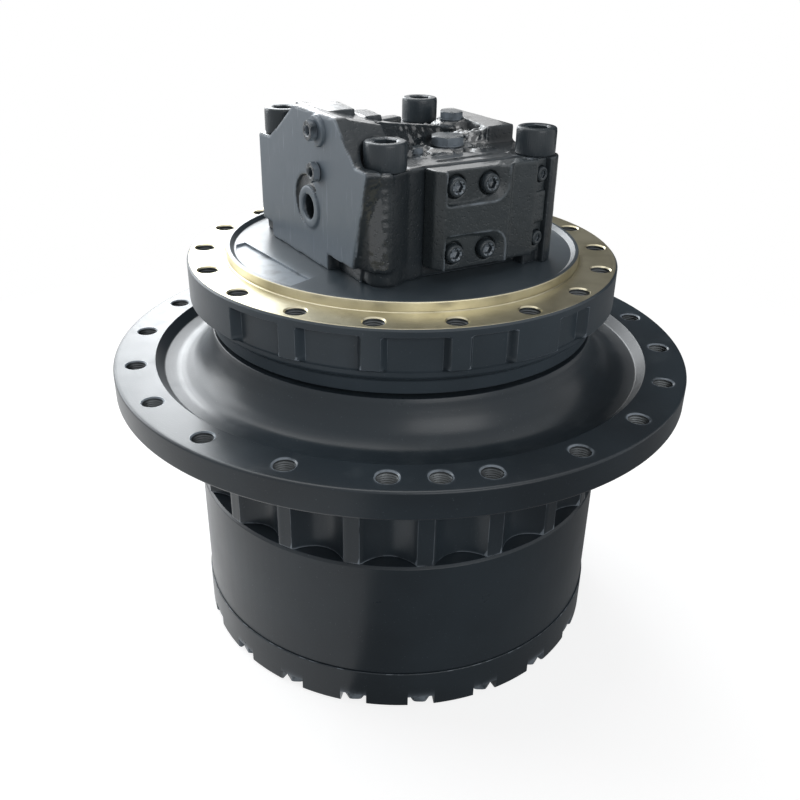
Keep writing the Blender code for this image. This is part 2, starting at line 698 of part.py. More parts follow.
def frame_pocket(name, first, last):
    """One pocket in the side of the frame flange, between the bosses of two threaded holes."""
    back = FRAME_FLANGE_RADIUS - FRAME_POCKET_DEPTH
    outline = [on_circle(FRAME_FLANGE_RADIUS + 6, first), on_circle(FRAME_FLANGE_RADIUS + 6, last)]
    outline += [on_circle(back + 3, last), on_circle(back, last - 1.5)]
    outline += [on_circle(back, (first + last) / 2), on_circle(back, first + 1.5), on_circle(back + 3, first)]
    return prism(name, [outline], WAIST + 11.5, FRAME_FACE - FRAME_POCKET_TOP, PAINT)


def make_motor_case(axes):
    """Outside and spindle turned, then bored for the motor, then the pockets and holes cut."""
    thread = BEARING_BORE_RADIUS - 6
    shoulder = SKIRT_BOTTOM + SEAL_BORE_DEPTH
    case = turned(
        "motor_case",
        [
            (DISC_RADIUS, DISC),
            (DISC_RADIUS + DISC_RECESS, REGISTER_TOP),
            (REGISTER_RADIUS, REGISTER_TOP),
            (REGISTER_RADIUS, FRAME_FACE),
            (FRAME_FLANGE_RADIUS - CHAMFER, FRAME_FACE),
            (FRAME_FLANGE_RADIUS, FRAME_FACE - CHAMFER),
            (FRAME_FLANGE_RADIUS, WAIST + FLARE_HEIGHT + 5),
            (CASE_WAIST_RADIUS, WAIST + 5),
            (SKIRT_RADIUS, WAIST),
            (SKIRT_RADIUS, SKIRT_BOTTOM),
            (0, SKIRT_BOTTOM),
            (0, DISC),
        ],
        PAINT,
        LARGE,
    )
    spindle = turned(
        "spindle",
        [
            (SPINDLE_SHOULDER_RADIUS, shoulder + 10),
            (SPINDLE_SHOULDER_RADIUS, BEARING_TOP + FIT),
            (BEARING_BORE_RADIUS, BEARING_TOP + FIT),
            (BEARING_BORE_RADIUS, LOWER_BEARING - FIT),
            (thread, LOWER_BEARING - FIT),
            (thread, NUT_BOTTOM),
            (SPINDLE_NOSE_RADIUS, NUT_BOTTOM),
            (SPINDLE_NOSE_RADIUS, SPINDLE_NOSE),
            (0, SPINDLE_NOSE),
            (0, shoulder + 10),
        ],
        PAINT,
        SMALL,
    )
    cut(case, ring("case_seal_bore", 0, SEAL_BORE_RADIUS, SKIRT_BOTTOM - 5, shoulder, PAINT, SMALL))
    join(case, spindle)
    bore = turned(
        "case_bore",
        [
            (CASE_BORE_RADIUS, DISC + 10),
            (CASE_BORE_RADIUS, BRAKE_FLOOR),
            (SWASH_BORE_RADIUS, BRAKE_FLOOR),
            (SWASH_BORE_RADIUS, SWASH_FLOOR),
            (FRONT_BEARING_RADIUS, SWASH_FLOOR),
            (FRONT_BEARING_RADIUS, FRONT_BEARING_FLOOR),
            (SHAFT_SEAL_RADIUS, FRONT_BEARING_FLOOR),
            (SHAFT_SEAL_RADIUS, SHAFT_SEAL_FLOOR),
            (SHAFT_HOLE_RADIUS, SHAFT_SEAL_FLOOR),
            (SHAFT_HOLE_RADIUS, SPINDLE_NOSE - 5),
            (0, SPINDLE_NOSE - 5),
            (0, DISC + 10),
        ],
        PAINT,
        SMALL,
    )
    cut(case, bore)
    for i, (first, last) in enumerate(FRAME_POCKETS):
        cut(case, frame_pocket(f"front_pocket_{i + 1}", first, last))
        cut(case, frame_pocket(f"rear_pocket_{i + 1}", first + 180, last + 180))
    pitch = 360 / FRAME_HOLES
    spots = [on_circle(FRAME_BOLT_RADIUS, FIRST_FRAME_HOLE + pitch * i) for i in range(FRAME_HOLES)]
    cut(case, rods("frame_holes", spots, FRAME_HOLE_RADIUS, FRAME_FACE - FRAME_HOLE_DEPTH, FRAME_FACE + 1))
    floor = SWASH_FLOOR - SPEED_PISTON_LENGTH - 2
    spot = [(0, SPEED_PISTON_OFFSET)]
    cut(case, rods("speed_piston_bore", spot, SPEED_PISTON_RADIUS + FIT, floor, SWASH_FLOOR + 1, sides=12))
    screws = [(u, v) for u, v, radius in COLUMNS]
    holes = rods("case_screw_holes", screws, CAP_SCREW_RADIUS + FIT, DISC - CAP_SCREW_GRIP - 2, DISC + 2)
    holes.parent = axes
    cut(case, holes)


def make_drive_shaft():
    journal = REAR_JOURNAL_RADIUS
    neck = SHAFT_RADIUS - 1
    socket = SHAFT_SPIGOT_RADIUS + FIT
    top = BLOCK_BASE + REAR_BEARING_WIDTH + 2
    turned(
        "drive_shaft",
        [
            (journal, top),
            (journal, BLOCK_TOP + 2),
            (neck, BLOCK_TOP - 2),
            (neck, SWASH_FLOOR + 6),
            (SHAFT_RADIUS, SWASH_FLOOR + 4),
            (SHAFT_RADIUS, SHAFT_BOTTOM),
            (socket, SHAFT_BOTTOM),
            (socket, SHAFT_SOCKET_TOP),
            (0, SHAFT_SOCKET_TOP),
            (0, top),
        ],
        STEEL,
        SMALL,
    )
    seal_top = SHAFT_SEAL_FLOOR + SHAFT_SEAL_WIDTH
    inner, outer = SHAFT_RADIUS + FIT, SHAFT_SEAL_RADIUS - FIT
    ring("shaft_seal", inner, outer, SHAFT_SEAL_FLOOR + FIT, seal_top, RUBBER, SMALL)
    outer = FRONT_BEARING_RADIUS - FIT
    bearing("front_shaft_bearing", inner, outer, FRONT_BEARING_FLOOR + FIT, SWASH_FLOOR - FIT, SMALL)
    inner, outer = journal + FIT, REAR_BEARING_RADIUS - FIT
    bottom, top = BLOCK_BASE + FIT, BLOCK_BASE + REAR_BEARING_WIDTH - FIT
    bearing("rear_shaft_bearing", inner, outer, bottom, top, SMALL)


def kidney_slots(name, bottom, top):
    """Two kidney-shaped ports on the piston circle."""
    outlines = []
    for side in (0, 180):
        outer = arc(PISTON_CIRCLE + 5, side - 66, side + 66, 4)
        outlines.append(outer + arc(PISTON_CIRCLE - 5, side + 66, side - 66, 4))
    return prism(name, outlines, bottom, top, STEEL)


def make_rotating_group():
    """Cylinder block with its bores, and the pistons whose shoes are held in the retainer plate."""
    spots = [on_circle(PISTON_CIRCLE, 360 * i / PISTONS) for i in range(PISTONS)]
    inner = SHAFT_RADIUS - 1 + FIT
    block = ring("cylinder_block", inner, BLOCK_RADIUS, BLOCK_FLOOR, BLOCK_TOP, STEEL, SMALL)
    join(block, ring("ball_guide", inner, GUIDE_RADIUS, RETAINER_FLOOR - 2, BLOCK_FLOOR + 1, STEEL))
    bore_top = BLOCK_FLOOR + PISTON_DEPTH + 12
    cut(block, rods("piston_bores", spots, PISTON_RADIUS + FIT, BLOCK_FLOOR - 1, bore_top))
    top = RETAINER_FLOOR + 4
    inner, outer = GUIDE_RADIUS + FIT, SHOE_REACH + 4
    plate = ring("pistons_and_retainer", inner, outer, RETAINER_FLOOR, top, BRONZE)
    join(plate, rods("piston_shoes", spots, PISTON_RADIUS + 1, SHOE_FLOOR, RETAINER_FLOOR + 1))
    join(plate, rods("piston_barrels", spots, PISTON_RADIUS, top - 1, BLOCK_FLOOR + PISTON_DEPTH))
    top = VALVE_PLATE_BOTTOM + VALVE_PLATE_THICKNESS
    inner, outer = SHAFT_RADIUS - 3 + FIT, BLOCK_RADIUS - 2
    valve_plate = ring("valve_plate", inner, outer, VALVE_PLATE_BOTTOM, top, BRONZE)
    cut(valve_plate, kidney_slots("valve_plate_ports", VALVE_PLATE_BOTTOM - 1, top + 1))


def make_swash_plate():
    """A wedge on the case floor. Its underside has two flats that meet on the tilt axis."""
    reach = SWASH_RADIUS + 2
    rise = math.tan(math.radians(SWASH_ANGLE))
    relief = math.tan(math.radians(SWASH_TRAVEL))
    pivot = SWASH_PIVOT_OFFSET
    side = [
        (reach, 0),
        (reach, SWASH_CENTRE_HEIGHT - rise * reach),
        (-reach, SWASH_CENTRE_HEIGHT + rise * reach),
        (-reach, relief * (pivot + reach)),
        (pivot, 0),
    ]
    plate = ring("swash_plate", SHAFT_RADIUS + 8, SWASH_RADIUS, SWASH_FLOOR - 5, SWASH_FLOOR + 60, STEEL)
    wedge = side_prism("swash_wedge", side, -reach, 2 * reach)
    wedge.data.transform(Matrix.Translation((0, 0, (SWASH_FLOOR + FIT) * MM)))
    combine(plate, wedge, "INTERSECT")
    origin = Vector((0, pivot, SWASH_FLOOR + FIT)) * MM
    plate.data.transform(Matrix.Translation(-origin))
    plate.location = origin
    spot = [(0, SPEED_PISTON_OFFSET)]
    floor = SWASH_FLOOR - SPEED_PISTON_LENGTH
    rods("speed_piston", spot, SPEED_PISTON_RADIUS, floor, SWASH_FLOOR, DARK_STEEL, 12)


def make_parking_brake():
    """Steel plates in the case, friction plates on the cylinder block, and the sprung piston above them."""
    outer = CASE_BORE_RADIUS - FIT
    height = BRAKE_FLOOR + FIT
    for i in range(2):
        top = height + BRAKE_PLATE_THICKNESS
        ring(f"brake_steel_plate_{i + 1}", BRAKE_RING_INNER, outer, height, top, STEEL)
        height = top + FIT
        top = height + BRAKE_PLATE_THICKNESS
        ring(f"brake_friction_plate_{i + 1}", BLOCK_RADIUS + FIT, outer - 4.7, height, top, LINING)
        height = top + FIT
    top = height + BRAKE_PISTON_HEIGHT
    ring("brake_piston", BRAKE_RING_INNER, outer, height, top, STEEL)
    rim = 2.5
    spring_top = SPIGOT_BOTTOM - FIT
    inner = BRAKE_RING_INNER + 3
    spring = [(outer - 1, top + FIT + rim), (outer - 1, top + FIT)]
    spring += [(inner, spring_top - rim), (inner, spring_top)]
    turned("brake_spring", spring, DARK_STEEL)


# End cover and what is fastened to it


def side_prism(name, outline, start, depth, material=PAINT):
    """A shape extruded along X. Its outline is given along Y and Z."""
    body = prism(name, [outline], 0, depth, material)
    turn = Matrix(((0, 0, 1, start * MM), (1, 0, 0, 0), (0, 1, 0, 0), (0, 0, 0, 1)))
    body.data.transform(turn)
    return face_out_item(body)


def face_out_item(item):
    face_out(item.data)
    return item


def lying(name, direction, start, radius, length, material=STEEL, sides=12):
    """A cylinder that points along a direction from a start point."""
    rod = rods(name, [(0, 0)], radius, 0, length, material, sides)
    turn = Vector((0, 0, 1)).rotation_difference(Vector(direction)).to_matrix().to_4x4()
    rod.data.transform(Matrix.Translation(Vector(start) * MM) @ turn)
    return rod


def box(name, low, high, material=PAINT):
    corners = [(low[0], low[1]), (high[0], low[1]), (high[0], high[1]), (low[0], high[1])]
    return prism(name, [corners], low[2], high[2], material)


def left_face(v):
    """Where the machined left face lies along the first axis. It is two degrees off square."""
    return -96.5 - math.tan(math.radians(2)) * v


def column_arc(index, first, last, steps=4):
    u, v, radius = COLUMNS[index]
    return arc(radius, first, last, steps, (u, v))


def cover_pad_line(offset, reach):
    """The slanted pad in front of the right column: a line at this offset from its screw's axis."""
    u, v = COLUMNS[1][:2]
    normal = Vector(on_circle(offset, PAD_AZIMUTH))
    along = Vector(on_circle(1, PAD_AZIMUTH + 90))
    middle = Vector((u, v)) + normal
    return [tuple(middle - along * reach[0]), tuple(middle + along * reach[1])]


def valve_cover_outline():
    """The valve cover in plan: its front with two slanted ends, and the pad that wraps the right column."""
    inner = cover_pad_line(PAD_INNER, (PAD_REACH + 2 * FIT, PAD_END))
    outer = cover_pad_line(PAD_OUTER, (PAD_REACH - 1.2, PAD_END))
    outline = [(VALVE_LEFT, VALVE_BACK), (VALVE_LEFT + 2, VALVE_FRONT + 5), (VALVE_LEFT + 6, VALVE_FRONT)]
    outline += [(37, VALVE_FRONT), (41, VALVE_FRONT + 4)]
    return outline + outer + [inner[1], inner[0], (inner[0][0] - 2, VALVE_BACK)]


def make_valve_cover():
    """Raised frame with two sunk pads for the screws. Its screw heads are part of the casting's body here."""
    bottom, top = DISC + VALVE_LIFT, SEAT - 0.5
    cover = prism("valve_cover", [valve_cover_outline()], bottom, top, PAINT)
    front = VALVE_FRONT
    cut(cover, box("upper_pad_recess", (-24, front - 5, top - 27), (35, front + 3.5, top + 5)))
    cut(cover, box("lower_pad_recess", (-24, front - 5, bottom - 5), (35, front + 3.5, bottom + 28)))
    screws = 0
    for height in COVER_SCREW_HEIGHTS:
        for u in COVER_SCREW_SPOTS:
            screws += 1
            start = (u, front + 6, height)
            join(cover, lying(f"cover_screw_{screws}", (0, -1, 0), start, 8, 8, DARK_STEEL, 10))
        screws += 1
        inward = cover_pad_line(PAD_OUTER - 3, (PAD_SCREW_REACH, 0))[0]
        direction = (*on_circle(1, PAD_AZIMUTH), 0)
        start = (inward[0], inward[1], height)
        join(cover, lying(f"cover_screw_{screws}", direction, start, 6.2, 4.5, DARK_STEEL, 10))


def make_cap_screws():
    """Four socket head screws that reach through the end cover into the case."""
    for i, (u, v, radius) in enumerate(COLUMNS):
        head = SEAT + FACE_GAP
        top = head + CAP_HEAD_HEIGHT
        screw = rods(f"end_cover_screw_{i + 1}", [(u, v)], CAP_HEAD_RADIUS, head, top, DARK_STEEL, 16)
        shank = rods(f"screw_shank_{i + 1}", [(u, v)], CAP_SCREW_RADIUS, DISC - CAP_SCREW_GRIP, head + 1)
        join(screw, shank)
        floor = top - CAP_SOCKET_DEPTH
        cut(screw, rods(f"screw_socket_{i + 1}", [(u, v)], CAP_SOCKET_RADIUS, floor, top + 1, sides=6))


def make_plugs():
    """Plugs and the relief valve in the cast top and in the left face, each a hexagon on a round shank."""
    hexagon_plug("large_hex_plug", LARGE_PLUG, 15.5, SEAT + 3, SEAT + 10.5, 12, 18)
    hexagon_plug("small_hex_plug", SMALL_PLUG, 8.5, SEAT + SEAT_RISE + FACE_GAP, SEAT + 5.5, 5, 10)
    hexagon_plug("relief_valve", RELIEF_VALVE, 11.5, RELIEF_TOP + FACE_GAP, RELIEF_TOP + 7, 8, 24)
    for name, v, height, radius in LEFT_PLUGS:
        face = left_face(v) - (LEFT_BOSS_HEIGHT if height > SEAT else 0) - 0.6
        plug = lying(name, (-1, 0, 0), (face, v, height), radius, 7, DARK_STEEL, 6)
        join(plug, lying(name + "_shank", (1, 0, 0), (face - 1, v, height), 5, 14, DARK_STEEL, 8))


def hexagon_plug(name, spot, radius, bottom, top, shank, depth):
    plug = rods(name, [spot], radius, bottom, top, DARK_STEEL, 6)
    join(plug, rods(name + "_shank", [spot], shank, bottom - depth, bottom + 1, DARK_STEEL))


def make_spool():
    """Counterbalance spool with three lands, and the cap that closes its bore on the right."""
    land, groove = SPOOL_RADIUS, SPOOL_RADIUS - 4
    half = SPOOL_LENGTH / 2
    profile = [(0, half), (land, half), (land, 24), (groove, 20), (groove, 10), (land, 6), (land, -6)]
    profile += [(groove, -10), (groove, -20), (land, -24), (land, -half), (0, -half)]
    spool = turned("counterbalance_spool", profile, STEEL, 12)
    turn = Matrix.Rotation(math.radians(90), 4, "Y")
    spool.data.transform(turn)
    spool.location = Vector((0, SPOOL_AXIS_V, BLOCK_BASE + SPOOL_AXIS_HEIGHT)) * MM
    start = (CAP_SEAT + FACE_GAP, SPOOL_AXIS_V, BLOCK_BASE + SPOOL_AXIS_HEIGHT)
    cap = lying("spool_cap", (1, 0, 0), start, SPOOL_RADIUS + 5, 8, DARK_STEEL, 6)
    inside = (CAP_SEAT + 1, SPOOL_AXIS_V, BLOCK_BASE + SPOOL_AXIS_HEIGHT)
    join(cap, lying("spool_cap_shank", (-1, 0, 0), inside, SPOOL_RADIUS, 26, DARK_STEEL, 12))


def end_cover_outline():
    """The end cover in plan, anticlockwise from the front of its machined left face."""
    outline = [(left_face(-92), -92)] + column_arc(0, 204, 255)
    outline += [(-49.5, -94), (VALVE_LEFT - 2, VALVE_BACK - 1.5), (VALVE_LEFT - FIT, VALVE_BACK + FIT)]
    inner = cover_pad_line(PAD_INNER - FIT, (PAD_REACH, PAD_END + FIT))
    outline += [(inner[0][0] - 2, VALVE_BACK + FIT)] + inner + column_arc(1, -82, 18, 5)
    outline += [(CAP_SEAT, -68), (CAP_SEAT, -30), (88, 60)] + column_arc(2, 10, 90)
    outline += [(46, 97), (-60, 99)] + column_arc(3, 80, 150, 3)
    return outline + [(left_face(80), 80)]


def raise_cast_top(body):
    """What stands above the seats: the wing on the left face, the tier behind it, rib, ridge and bosses."""
    base, high = SEAT - 8, SEAT + WING_HEIGHT
    tier = SEAT + 28
    side = [(-88, base), (-88, SEAT + 1), (-50, high), (13, high), (69, SEAT + 1), (69, base)]
    plate = side_prism("left_wing", side, -110, WING_REACH)
    edge = box("left_wing_limit", (-43.5, -100, base - 20), (0, 110, high + 20))
    edge.data.transform(Matrix.Rotation(math.radians(2), 4, "Z"))
    edge.data.transform(Matrix.Translation(Vector((-96.5, 0, 0)) * MM))
    cut(plate, edge)
    join(body, plate)
    outline = [(-80, -48), (-48, -40), (-38, -28), (-36, 24), (-60, 44), (-80, 44)]
    join(body, prism("upper_tier", [outline], base, tier, PAINT))
    join(body, box("raised_block", (-72, -8, base), (-46, 30, tier + 4)))
    outline = [(-46, -40), (-42, -30), (48, 12), (52, 3)]
    join(body, prism("top_rib", [outline], base, SEAT + 17, PAINT))
    outline = [(74, -60), (88, -60), (86, 58), (72, 58)]
    join(body, prism("right_ridge", [outline], base, SEAT + 15, PAINT))
    join(body, rods("large_plug_boss", [LARGE_PLUG], 21, base, SEAT + 2.7, PAINT, 16))
    profile = [(14, RELIEF_TOP), (24, SEAT + 1), (24, base), (0, base), (0, RELIEF_TOP)]
    boss = turned("relief_boss", profile, PAINT, 16)
    boss.location = Vector((*RELIEF_VALVE, 0)) * MM
    join(body, boss)


def make_end_cover(axes):
    """Block on the disc with four columns, its cast top, the machined left face, and the bores inside it."""
    known = set(bpy.data.objects)
    body = prism("end_cover", [end_cover_outline()], BLOCK_BASE, SEAT + SEAT_RISE, PAINT)
    raise_cast_top(body)
    spigot = CASE_BORE_RADIUS - FIT
    join(body, ring("end_cover_spigot", 0, spigot, SPIGOT_BOTTOM, BLOCK_BASE + 1, PAINT))
    face = left_face(PORT_V)
    port_height = BLOCK_BASE + PORT_HEIGHT
    join(body, lying("port_ring", (-1, 0, 0), (face + 6, PORT_V, port_height), 18, 7.2, PAINT, 16))
    name, v, height, radius = LEFT_PLUGS[0]
    length = 8 + LEFT_BOSS_HEIGHT
    join(body, lying("left_plug_boss", (-1, 0, 0), (left_face(v) + 8, v, height), 12, length, PAINT, 16))
    cut(body, kidney_slots("end_cover_ports", SPIGOT_BOTTOM - 1, SPIGOT_BOTTOM + 14))
    bottom, top = SPIGOT_BOTTOM - 1, BLOCK_BASE + REAR_BEARING_WIDTH + 4
    cut(body, ring("rear_bearing_pocket", 0, REAR_BEARING_RADIUS, bottom, top, PAINT))
    cut(body, box("foot_notch", (-110, -82, BLOCK_BASE - 2), (-84, -40, BLOCK_BASE + 13)))
    cut(body, box("rear_foot_notch", (-120, 64, BLOCK_BASE - 2), (-92, 120, BLOCK_BASE + 12)))
    screws = [(u, v) for u, v, radius in COLUMNS]
    cut(body, rods("head_clearance", screws, CAP_HEAD_RADIUS + 2, SEAT, SEAT + 60, PAINT, 16))
    cut(body, rods("end_cover_screw_holes", screws, CAP_SCREW_RADIUS + FIT, SPIGOT_BOTTOM, SEAT + 60))
    for spot, radius, depth in ((LARGE_PLUG, 12, 20), (SMALL_PLUG, 5, 14), (RELIEF_VALVE, 8, 36)):
        cut(body, rods(f"plug_hole_{depth}", [spot], radius + FIT, SEAT - depth, SEAT + 40))
    for name, v, height, radius in LEFT_PLUGS:
        cut(body, lying(name + "_hole", (1, 0, 0), (left_face(v) - 10, v, height), 5 + FIT, 26, sides=8))
    start = (face - 5, PORT_V, port_height)
    cut(body, lying("port_bore", (1, 0, 0), start, PORT_RADIUS, PORT_DEPTH + 5, sides=16))
    start = (-SPOOL_LENGTH / 2 - SPOOL_TRAVEL - 4, SPOOL_AXIS_V, BLOCK_BASE + SPOOL_AXIS_HEIGHT)
    cut(body, lying("spool_bore", (1, 0, 0), start, SPOOL_RADIUS + FIT, 160, sides=12))
    make_cap_screws()
    make_valve_cover()
    make_plugs()
    make_spool()
    for item in set(bpy.data.objects) - known:
        item.parent = axes


def main():
    axes = bpy.data.objects.new("end_cover_axes", None)
    axes.rotation_euler.z = math.radians(BLOCK_TURN)
    PARTS.objects.link(axes)
    make_cover()
    make_ring_gear()
    make_hub()
    make_main_bearings()
    make_face_seal()
    make_second_stage()
    make_first_stage()
    make_motor_case(axes)
    make_drive_shaft()
    make_rotating_group()
    make_swash_plate()
    make_parking_brake()
    make_end_cover(axes)


main()
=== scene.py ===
import json
import math

import bmesh
import bpy
import numpy as np
from mathutils import Matrix, Vector


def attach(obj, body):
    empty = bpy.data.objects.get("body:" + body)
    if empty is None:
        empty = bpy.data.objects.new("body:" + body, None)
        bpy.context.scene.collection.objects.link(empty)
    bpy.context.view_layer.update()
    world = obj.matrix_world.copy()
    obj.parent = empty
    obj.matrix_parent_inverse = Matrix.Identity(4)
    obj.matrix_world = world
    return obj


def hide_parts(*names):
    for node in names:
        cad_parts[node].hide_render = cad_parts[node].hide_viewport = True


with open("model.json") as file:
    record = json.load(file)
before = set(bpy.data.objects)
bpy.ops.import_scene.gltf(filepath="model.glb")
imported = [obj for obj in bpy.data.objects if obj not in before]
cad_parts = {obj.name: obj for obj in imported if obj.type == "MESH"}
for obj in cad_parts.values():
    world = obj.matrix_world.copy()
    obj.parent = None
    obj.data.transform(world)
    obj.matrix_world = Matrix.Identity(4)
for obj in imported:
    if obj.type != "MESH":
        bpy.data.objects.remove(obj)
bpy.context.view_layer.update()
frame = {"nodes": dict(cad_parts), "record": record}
mm = 0.001
print("frame loaded")


# Lines, grids and turned forms. Sizes are in millimetres until a mesh is made.

def roundedLine(corners, closed=False, steps=4):
    # each corner is (a, b, fillet): the fillet is an arc that touches both of the corner's sides
    points = []
    for i, (a, b, fillet) in enumerate(corners):
        here = np.array((a, b), float)
        if fillet <= 0 or (not closed and i in (0, len(corners) - 1)):
            points.append(here)
            continue
        before = np.array(corners[i - 1][:2], float) - here
        after = np.array(corners[(i + 1) % len(corners)][:2], float) - here
        before /= np.linalg.norm(before)
        after /= np.linalg.norm(after)
        half = math.acos(float(np.clip(before @ after, -0.9999, 0.9999))) / 2
        bisector = (before + after) / np.linalg.norm(before + after)
        middle = here + bisector * fillet / math.sin(half)
        first = here + before * fillet / math.tan(half) - middle
        last = here + after * fillet / math.tan(half) - middle
        sweep = math.pi - 2 * half
        for t in np.linspace(0, 1, steps + 1):
            both = first * math.sin((1 - t) * sweep) + last * math.sin(t * sweep)
            points.append(middle + both / math.sin(sweep))
    return np.array(points)


def smoothCurve(points, steps):
    # a Catmull-Rom curve: each span is a cubic whose slopes follow the points on its two sides
    points = np.array(points, float)
    padded = np.vstack([2 * points[0] - points[1], points, 2 * points[-1] - points[-2]])
    t = np.linspace(0, 1, steps, endpoint=False)[None, :, None]
    a, b, c, d = (padded[k:len(padded) - 3 + k][:, None] for k in range(4))
    spans = 0.5 * (2 * b + (c - a) * t + (2 * a - 5 * b + 4 * c - d) * t ** 2
                   + (3 * b - a - 3 * c + d) * t ** 3)
    return np.vstack([spans.reshape(-1, 2), points[-1]])


def softMin(a, b, k):
    # the smaller of two lengths, melted together over the width k
    h = np.maximum(k - np.abs(a - b), 0) / k
    return np.minimum(a, b) - h * h * k / 4


def step(low, high, x):
    t = np.clip((x - low) / (high - low), 0, 1)
    return t * t * (3 - 2 * t)


def gridFaces(rows, columns, closedRows=False):
    # quads of a grid of points whose columns close on themselves
    index = np.arange(rows * columns).reshape(rows, columns)
    index = np.concatenate([index, index[:, :1]], 1)
    if closedRows:
        index = np.concatenate([index, index[:1]], 0)
    return np.stack([index[:-1, :-1], index[:-1, 1:], index[1:, 1:], index[1:, :-1]], -1).reshape(-1, 4)


def fullTurn(columns):
    return np.arange(columns) * 2 * np.pi / columns


def turnedGrid(rows, turn, closedRows=False):
    # the points and faces of rows of (radius, height) turned about Z, each a number or one value a column
    radius, height = (np.stack([np.broadcast_to(np.asarray(row[k], float), len(turn)) for row in rows])
                      for k in (0, 1))
    points = np.stack([radius * np.cos(turn), radius * np.sin(turn), height], -1).reshape(-1, 3)
    return points, gridFaces(len(rows), len(turn), closedRows)


def gathered(sets, faces):
    # several sets of points with the same faces, as one mesh
    return np.concatenate(sets), np.concatenate([faces + len(sets[0]) * i for i in range(len(sets))])


def placed(points, origin, direction):
    # turns +Z to the direction by the shortest way, then moves the points to the origin
    turn = Vector((0, 0, 1)).rotation_difference(Vector(direction)).to_matrix()
    return points @ np.array(turn).T + np.asarray(origin, float)


def onCircle(radius, degrees):
    return radius * math.cos(math.radians(degrees)), radius * math.sin(math.radians(degrees))


# the end cover stands turned by 30 degrees about Z; its four columns by place and radius, in its own axes
blockTurnRows = np.array([(*onCircle(1, 30), 0), (*onCircle(1, 120), 0), (0, 0, 1)])
blockColumns = ((-66.0, -85.0, 20.0), (78.0, -85.5, 20.0), (64.5, 84.0, 20.0), (-78.0, 85.5, 20.5))


def turnBlock(points):
    # from the end cover's own axes to the part's
    return np.asarray(points).reshape(-1, 3) @ blockTurnRows


def meshPiece(name, points, faces, sharp=33.0):
    mesh = bpy.data.meshes.new(name)
    faces = faces if isinstance(faces, list) else faces.tolist()
    mesh.from_pydata((np.asarray(points, float) * mm).tolist(), [], faces)
    piece = bpy.data.objects.new(name, mesh)
    bpy.context.scene.collection.objects.link(piece)
    seal(piece, sharp)
    return piece


def seal(piece, sharp=33.0):
    # welds seams and poles, turns every face outwards and keeps edges over the angle sharp
    cage = bmesh.new()
    cage.from_mesh(piece.data)
    bmesh.ops.remove_doubles(cage, verts=cage.verts, dist=2e-6)
    bmesh.ops.dissolve_degenerate(cage, edges=cage.edges, dist=1e-7)
    bmesh.ops.recalc_face_normals(cage, faces=cage.faces)
    cage.to_mesh(piece.data)
    cage.free()
    piece.data.shade_smooth()
    piece.data.set_sharp_from_angle(angle=math.radians(sharp))


def prismPiece(name, outline, low, high):
    count = len(outline)
    points = np.concatenate([np.column_stack([outline, np.full(count, z)]) for z in (low, high)])
    caps = [list(range(count))[::-1], list(range(count, 2 * count))]
    return meshPiece(name, points, gridFaces(2, count).tolist() + caps)


def joinMeshes(piece, *others):
    # one mesh of all, so that one Boolean serves them all
    cage = bmesh.new()
    for item in (piece, *others):
        cage.from_mesh(item.data)
    cage.to_mesh(piece.data)
    cage.free()
    for other in others:
        bpy.data.objects.remove(other, do_unlink=True)
    return piece


def cutFrom(piece, tool):
    change = piece.modifiers.new("cut", "BOOLEAN")
    change.operation = "DIFFERENCE"
    change.solver = "EXACT"
    change.object = tool
    bpy.context.view_layer.update()
    graph = bpy.context.evaluated_depsgraph_get()
    mesh = bpy.data.meshes.new_from_object(piece.evaluated_get(graph))
    piece.modifiers.clear()
    piece.data = mesh
    bpy.data.objects.remove(tool, do_unlink=True)
    seal(piece)


def evenShade(piece):
    # large faces set the shading at their corners, so that flats stay flat up to their fillets
    change = piece.modifiers.new("evenShade", "WEIGHTED_NORMAL")
    change.keep_sharp = True
    change.weight = 90
    return piece


# Finishes

def colour(red, green, blue):
    # a display colour of 0 to 255 a channel, as the linear one that a shader takes
    values = np.array((red, green, blue)) / 255
    linear = np.where(values <= 0.04045, values / 12.92, ((values + 0.055) / 1.055) ** 2.4)
    return (*[float(v) for v in linear], 1.0)


class Signal:
    def __init__(self, nodes, socket):
        self.nodes = nodes
        self.socket = socket

    def math(self, operation, first, second):
        return self.nodes.add("ShaderNodeMath", {"operation": operation}, {0: first, 1: second})

    def __add__(self, other):
        return self.math("ADD", self, other)

    def __sub__(self, other):
        return self.math("SUBTRACT", self, other)

    def __rsub__(self, other):
        return self.math("SUBTRACT", other, self)

    def __mul__(self, other):
        return self.math("MULTIPLY", self, other)

    def __pow__(self, other):
        return self.math("POWER", self, other)

    __radd__ = __add__
    __rmul__ = __mul__


class Nodes:
    def __init__(self, tree):
        self.tree = tree

    def add(self, kind, settings=None, inputs=None, output=0):
        node = self.tree.nodes.new(kind)
        for key, value in (settings or {}).items():
            setattr(node, key, value)
        for key, value in (inputs or {}).items():
            if isinstance(value, Signal):
                self.tree.links.new(value.socket, node.inputs[key])
            else:
                node.inputs[key].default_value = value
        return Signal(self, node.outputs[output])

    def seenRay(self):
        # 1 for rays from the camera, or by way of a mirror or glass
        camera, glossy, through = (self.add("ShaderNodeLightPath", output=f"Is {ray} Ray")
                                   for ray in ("Camera", "Glossy", "Transmission"))
        return camera.math("MAXIMUM", camera.math("MAXIMUM", camera, glossy), through)

    def mixed(self, factor, first, second):
        return self.add("ShaderNodeMixShader", {}, {0: factor, 1: first, 2: second})

    def glow(self, strength):
        return self.add("ShaderNodeEmission", {}, {"Strength": strength})

    def send(self, signal, target="Material Output"):
        self.tree.links.new(signal.socket, self.tree.nodes[target].inputs[0])


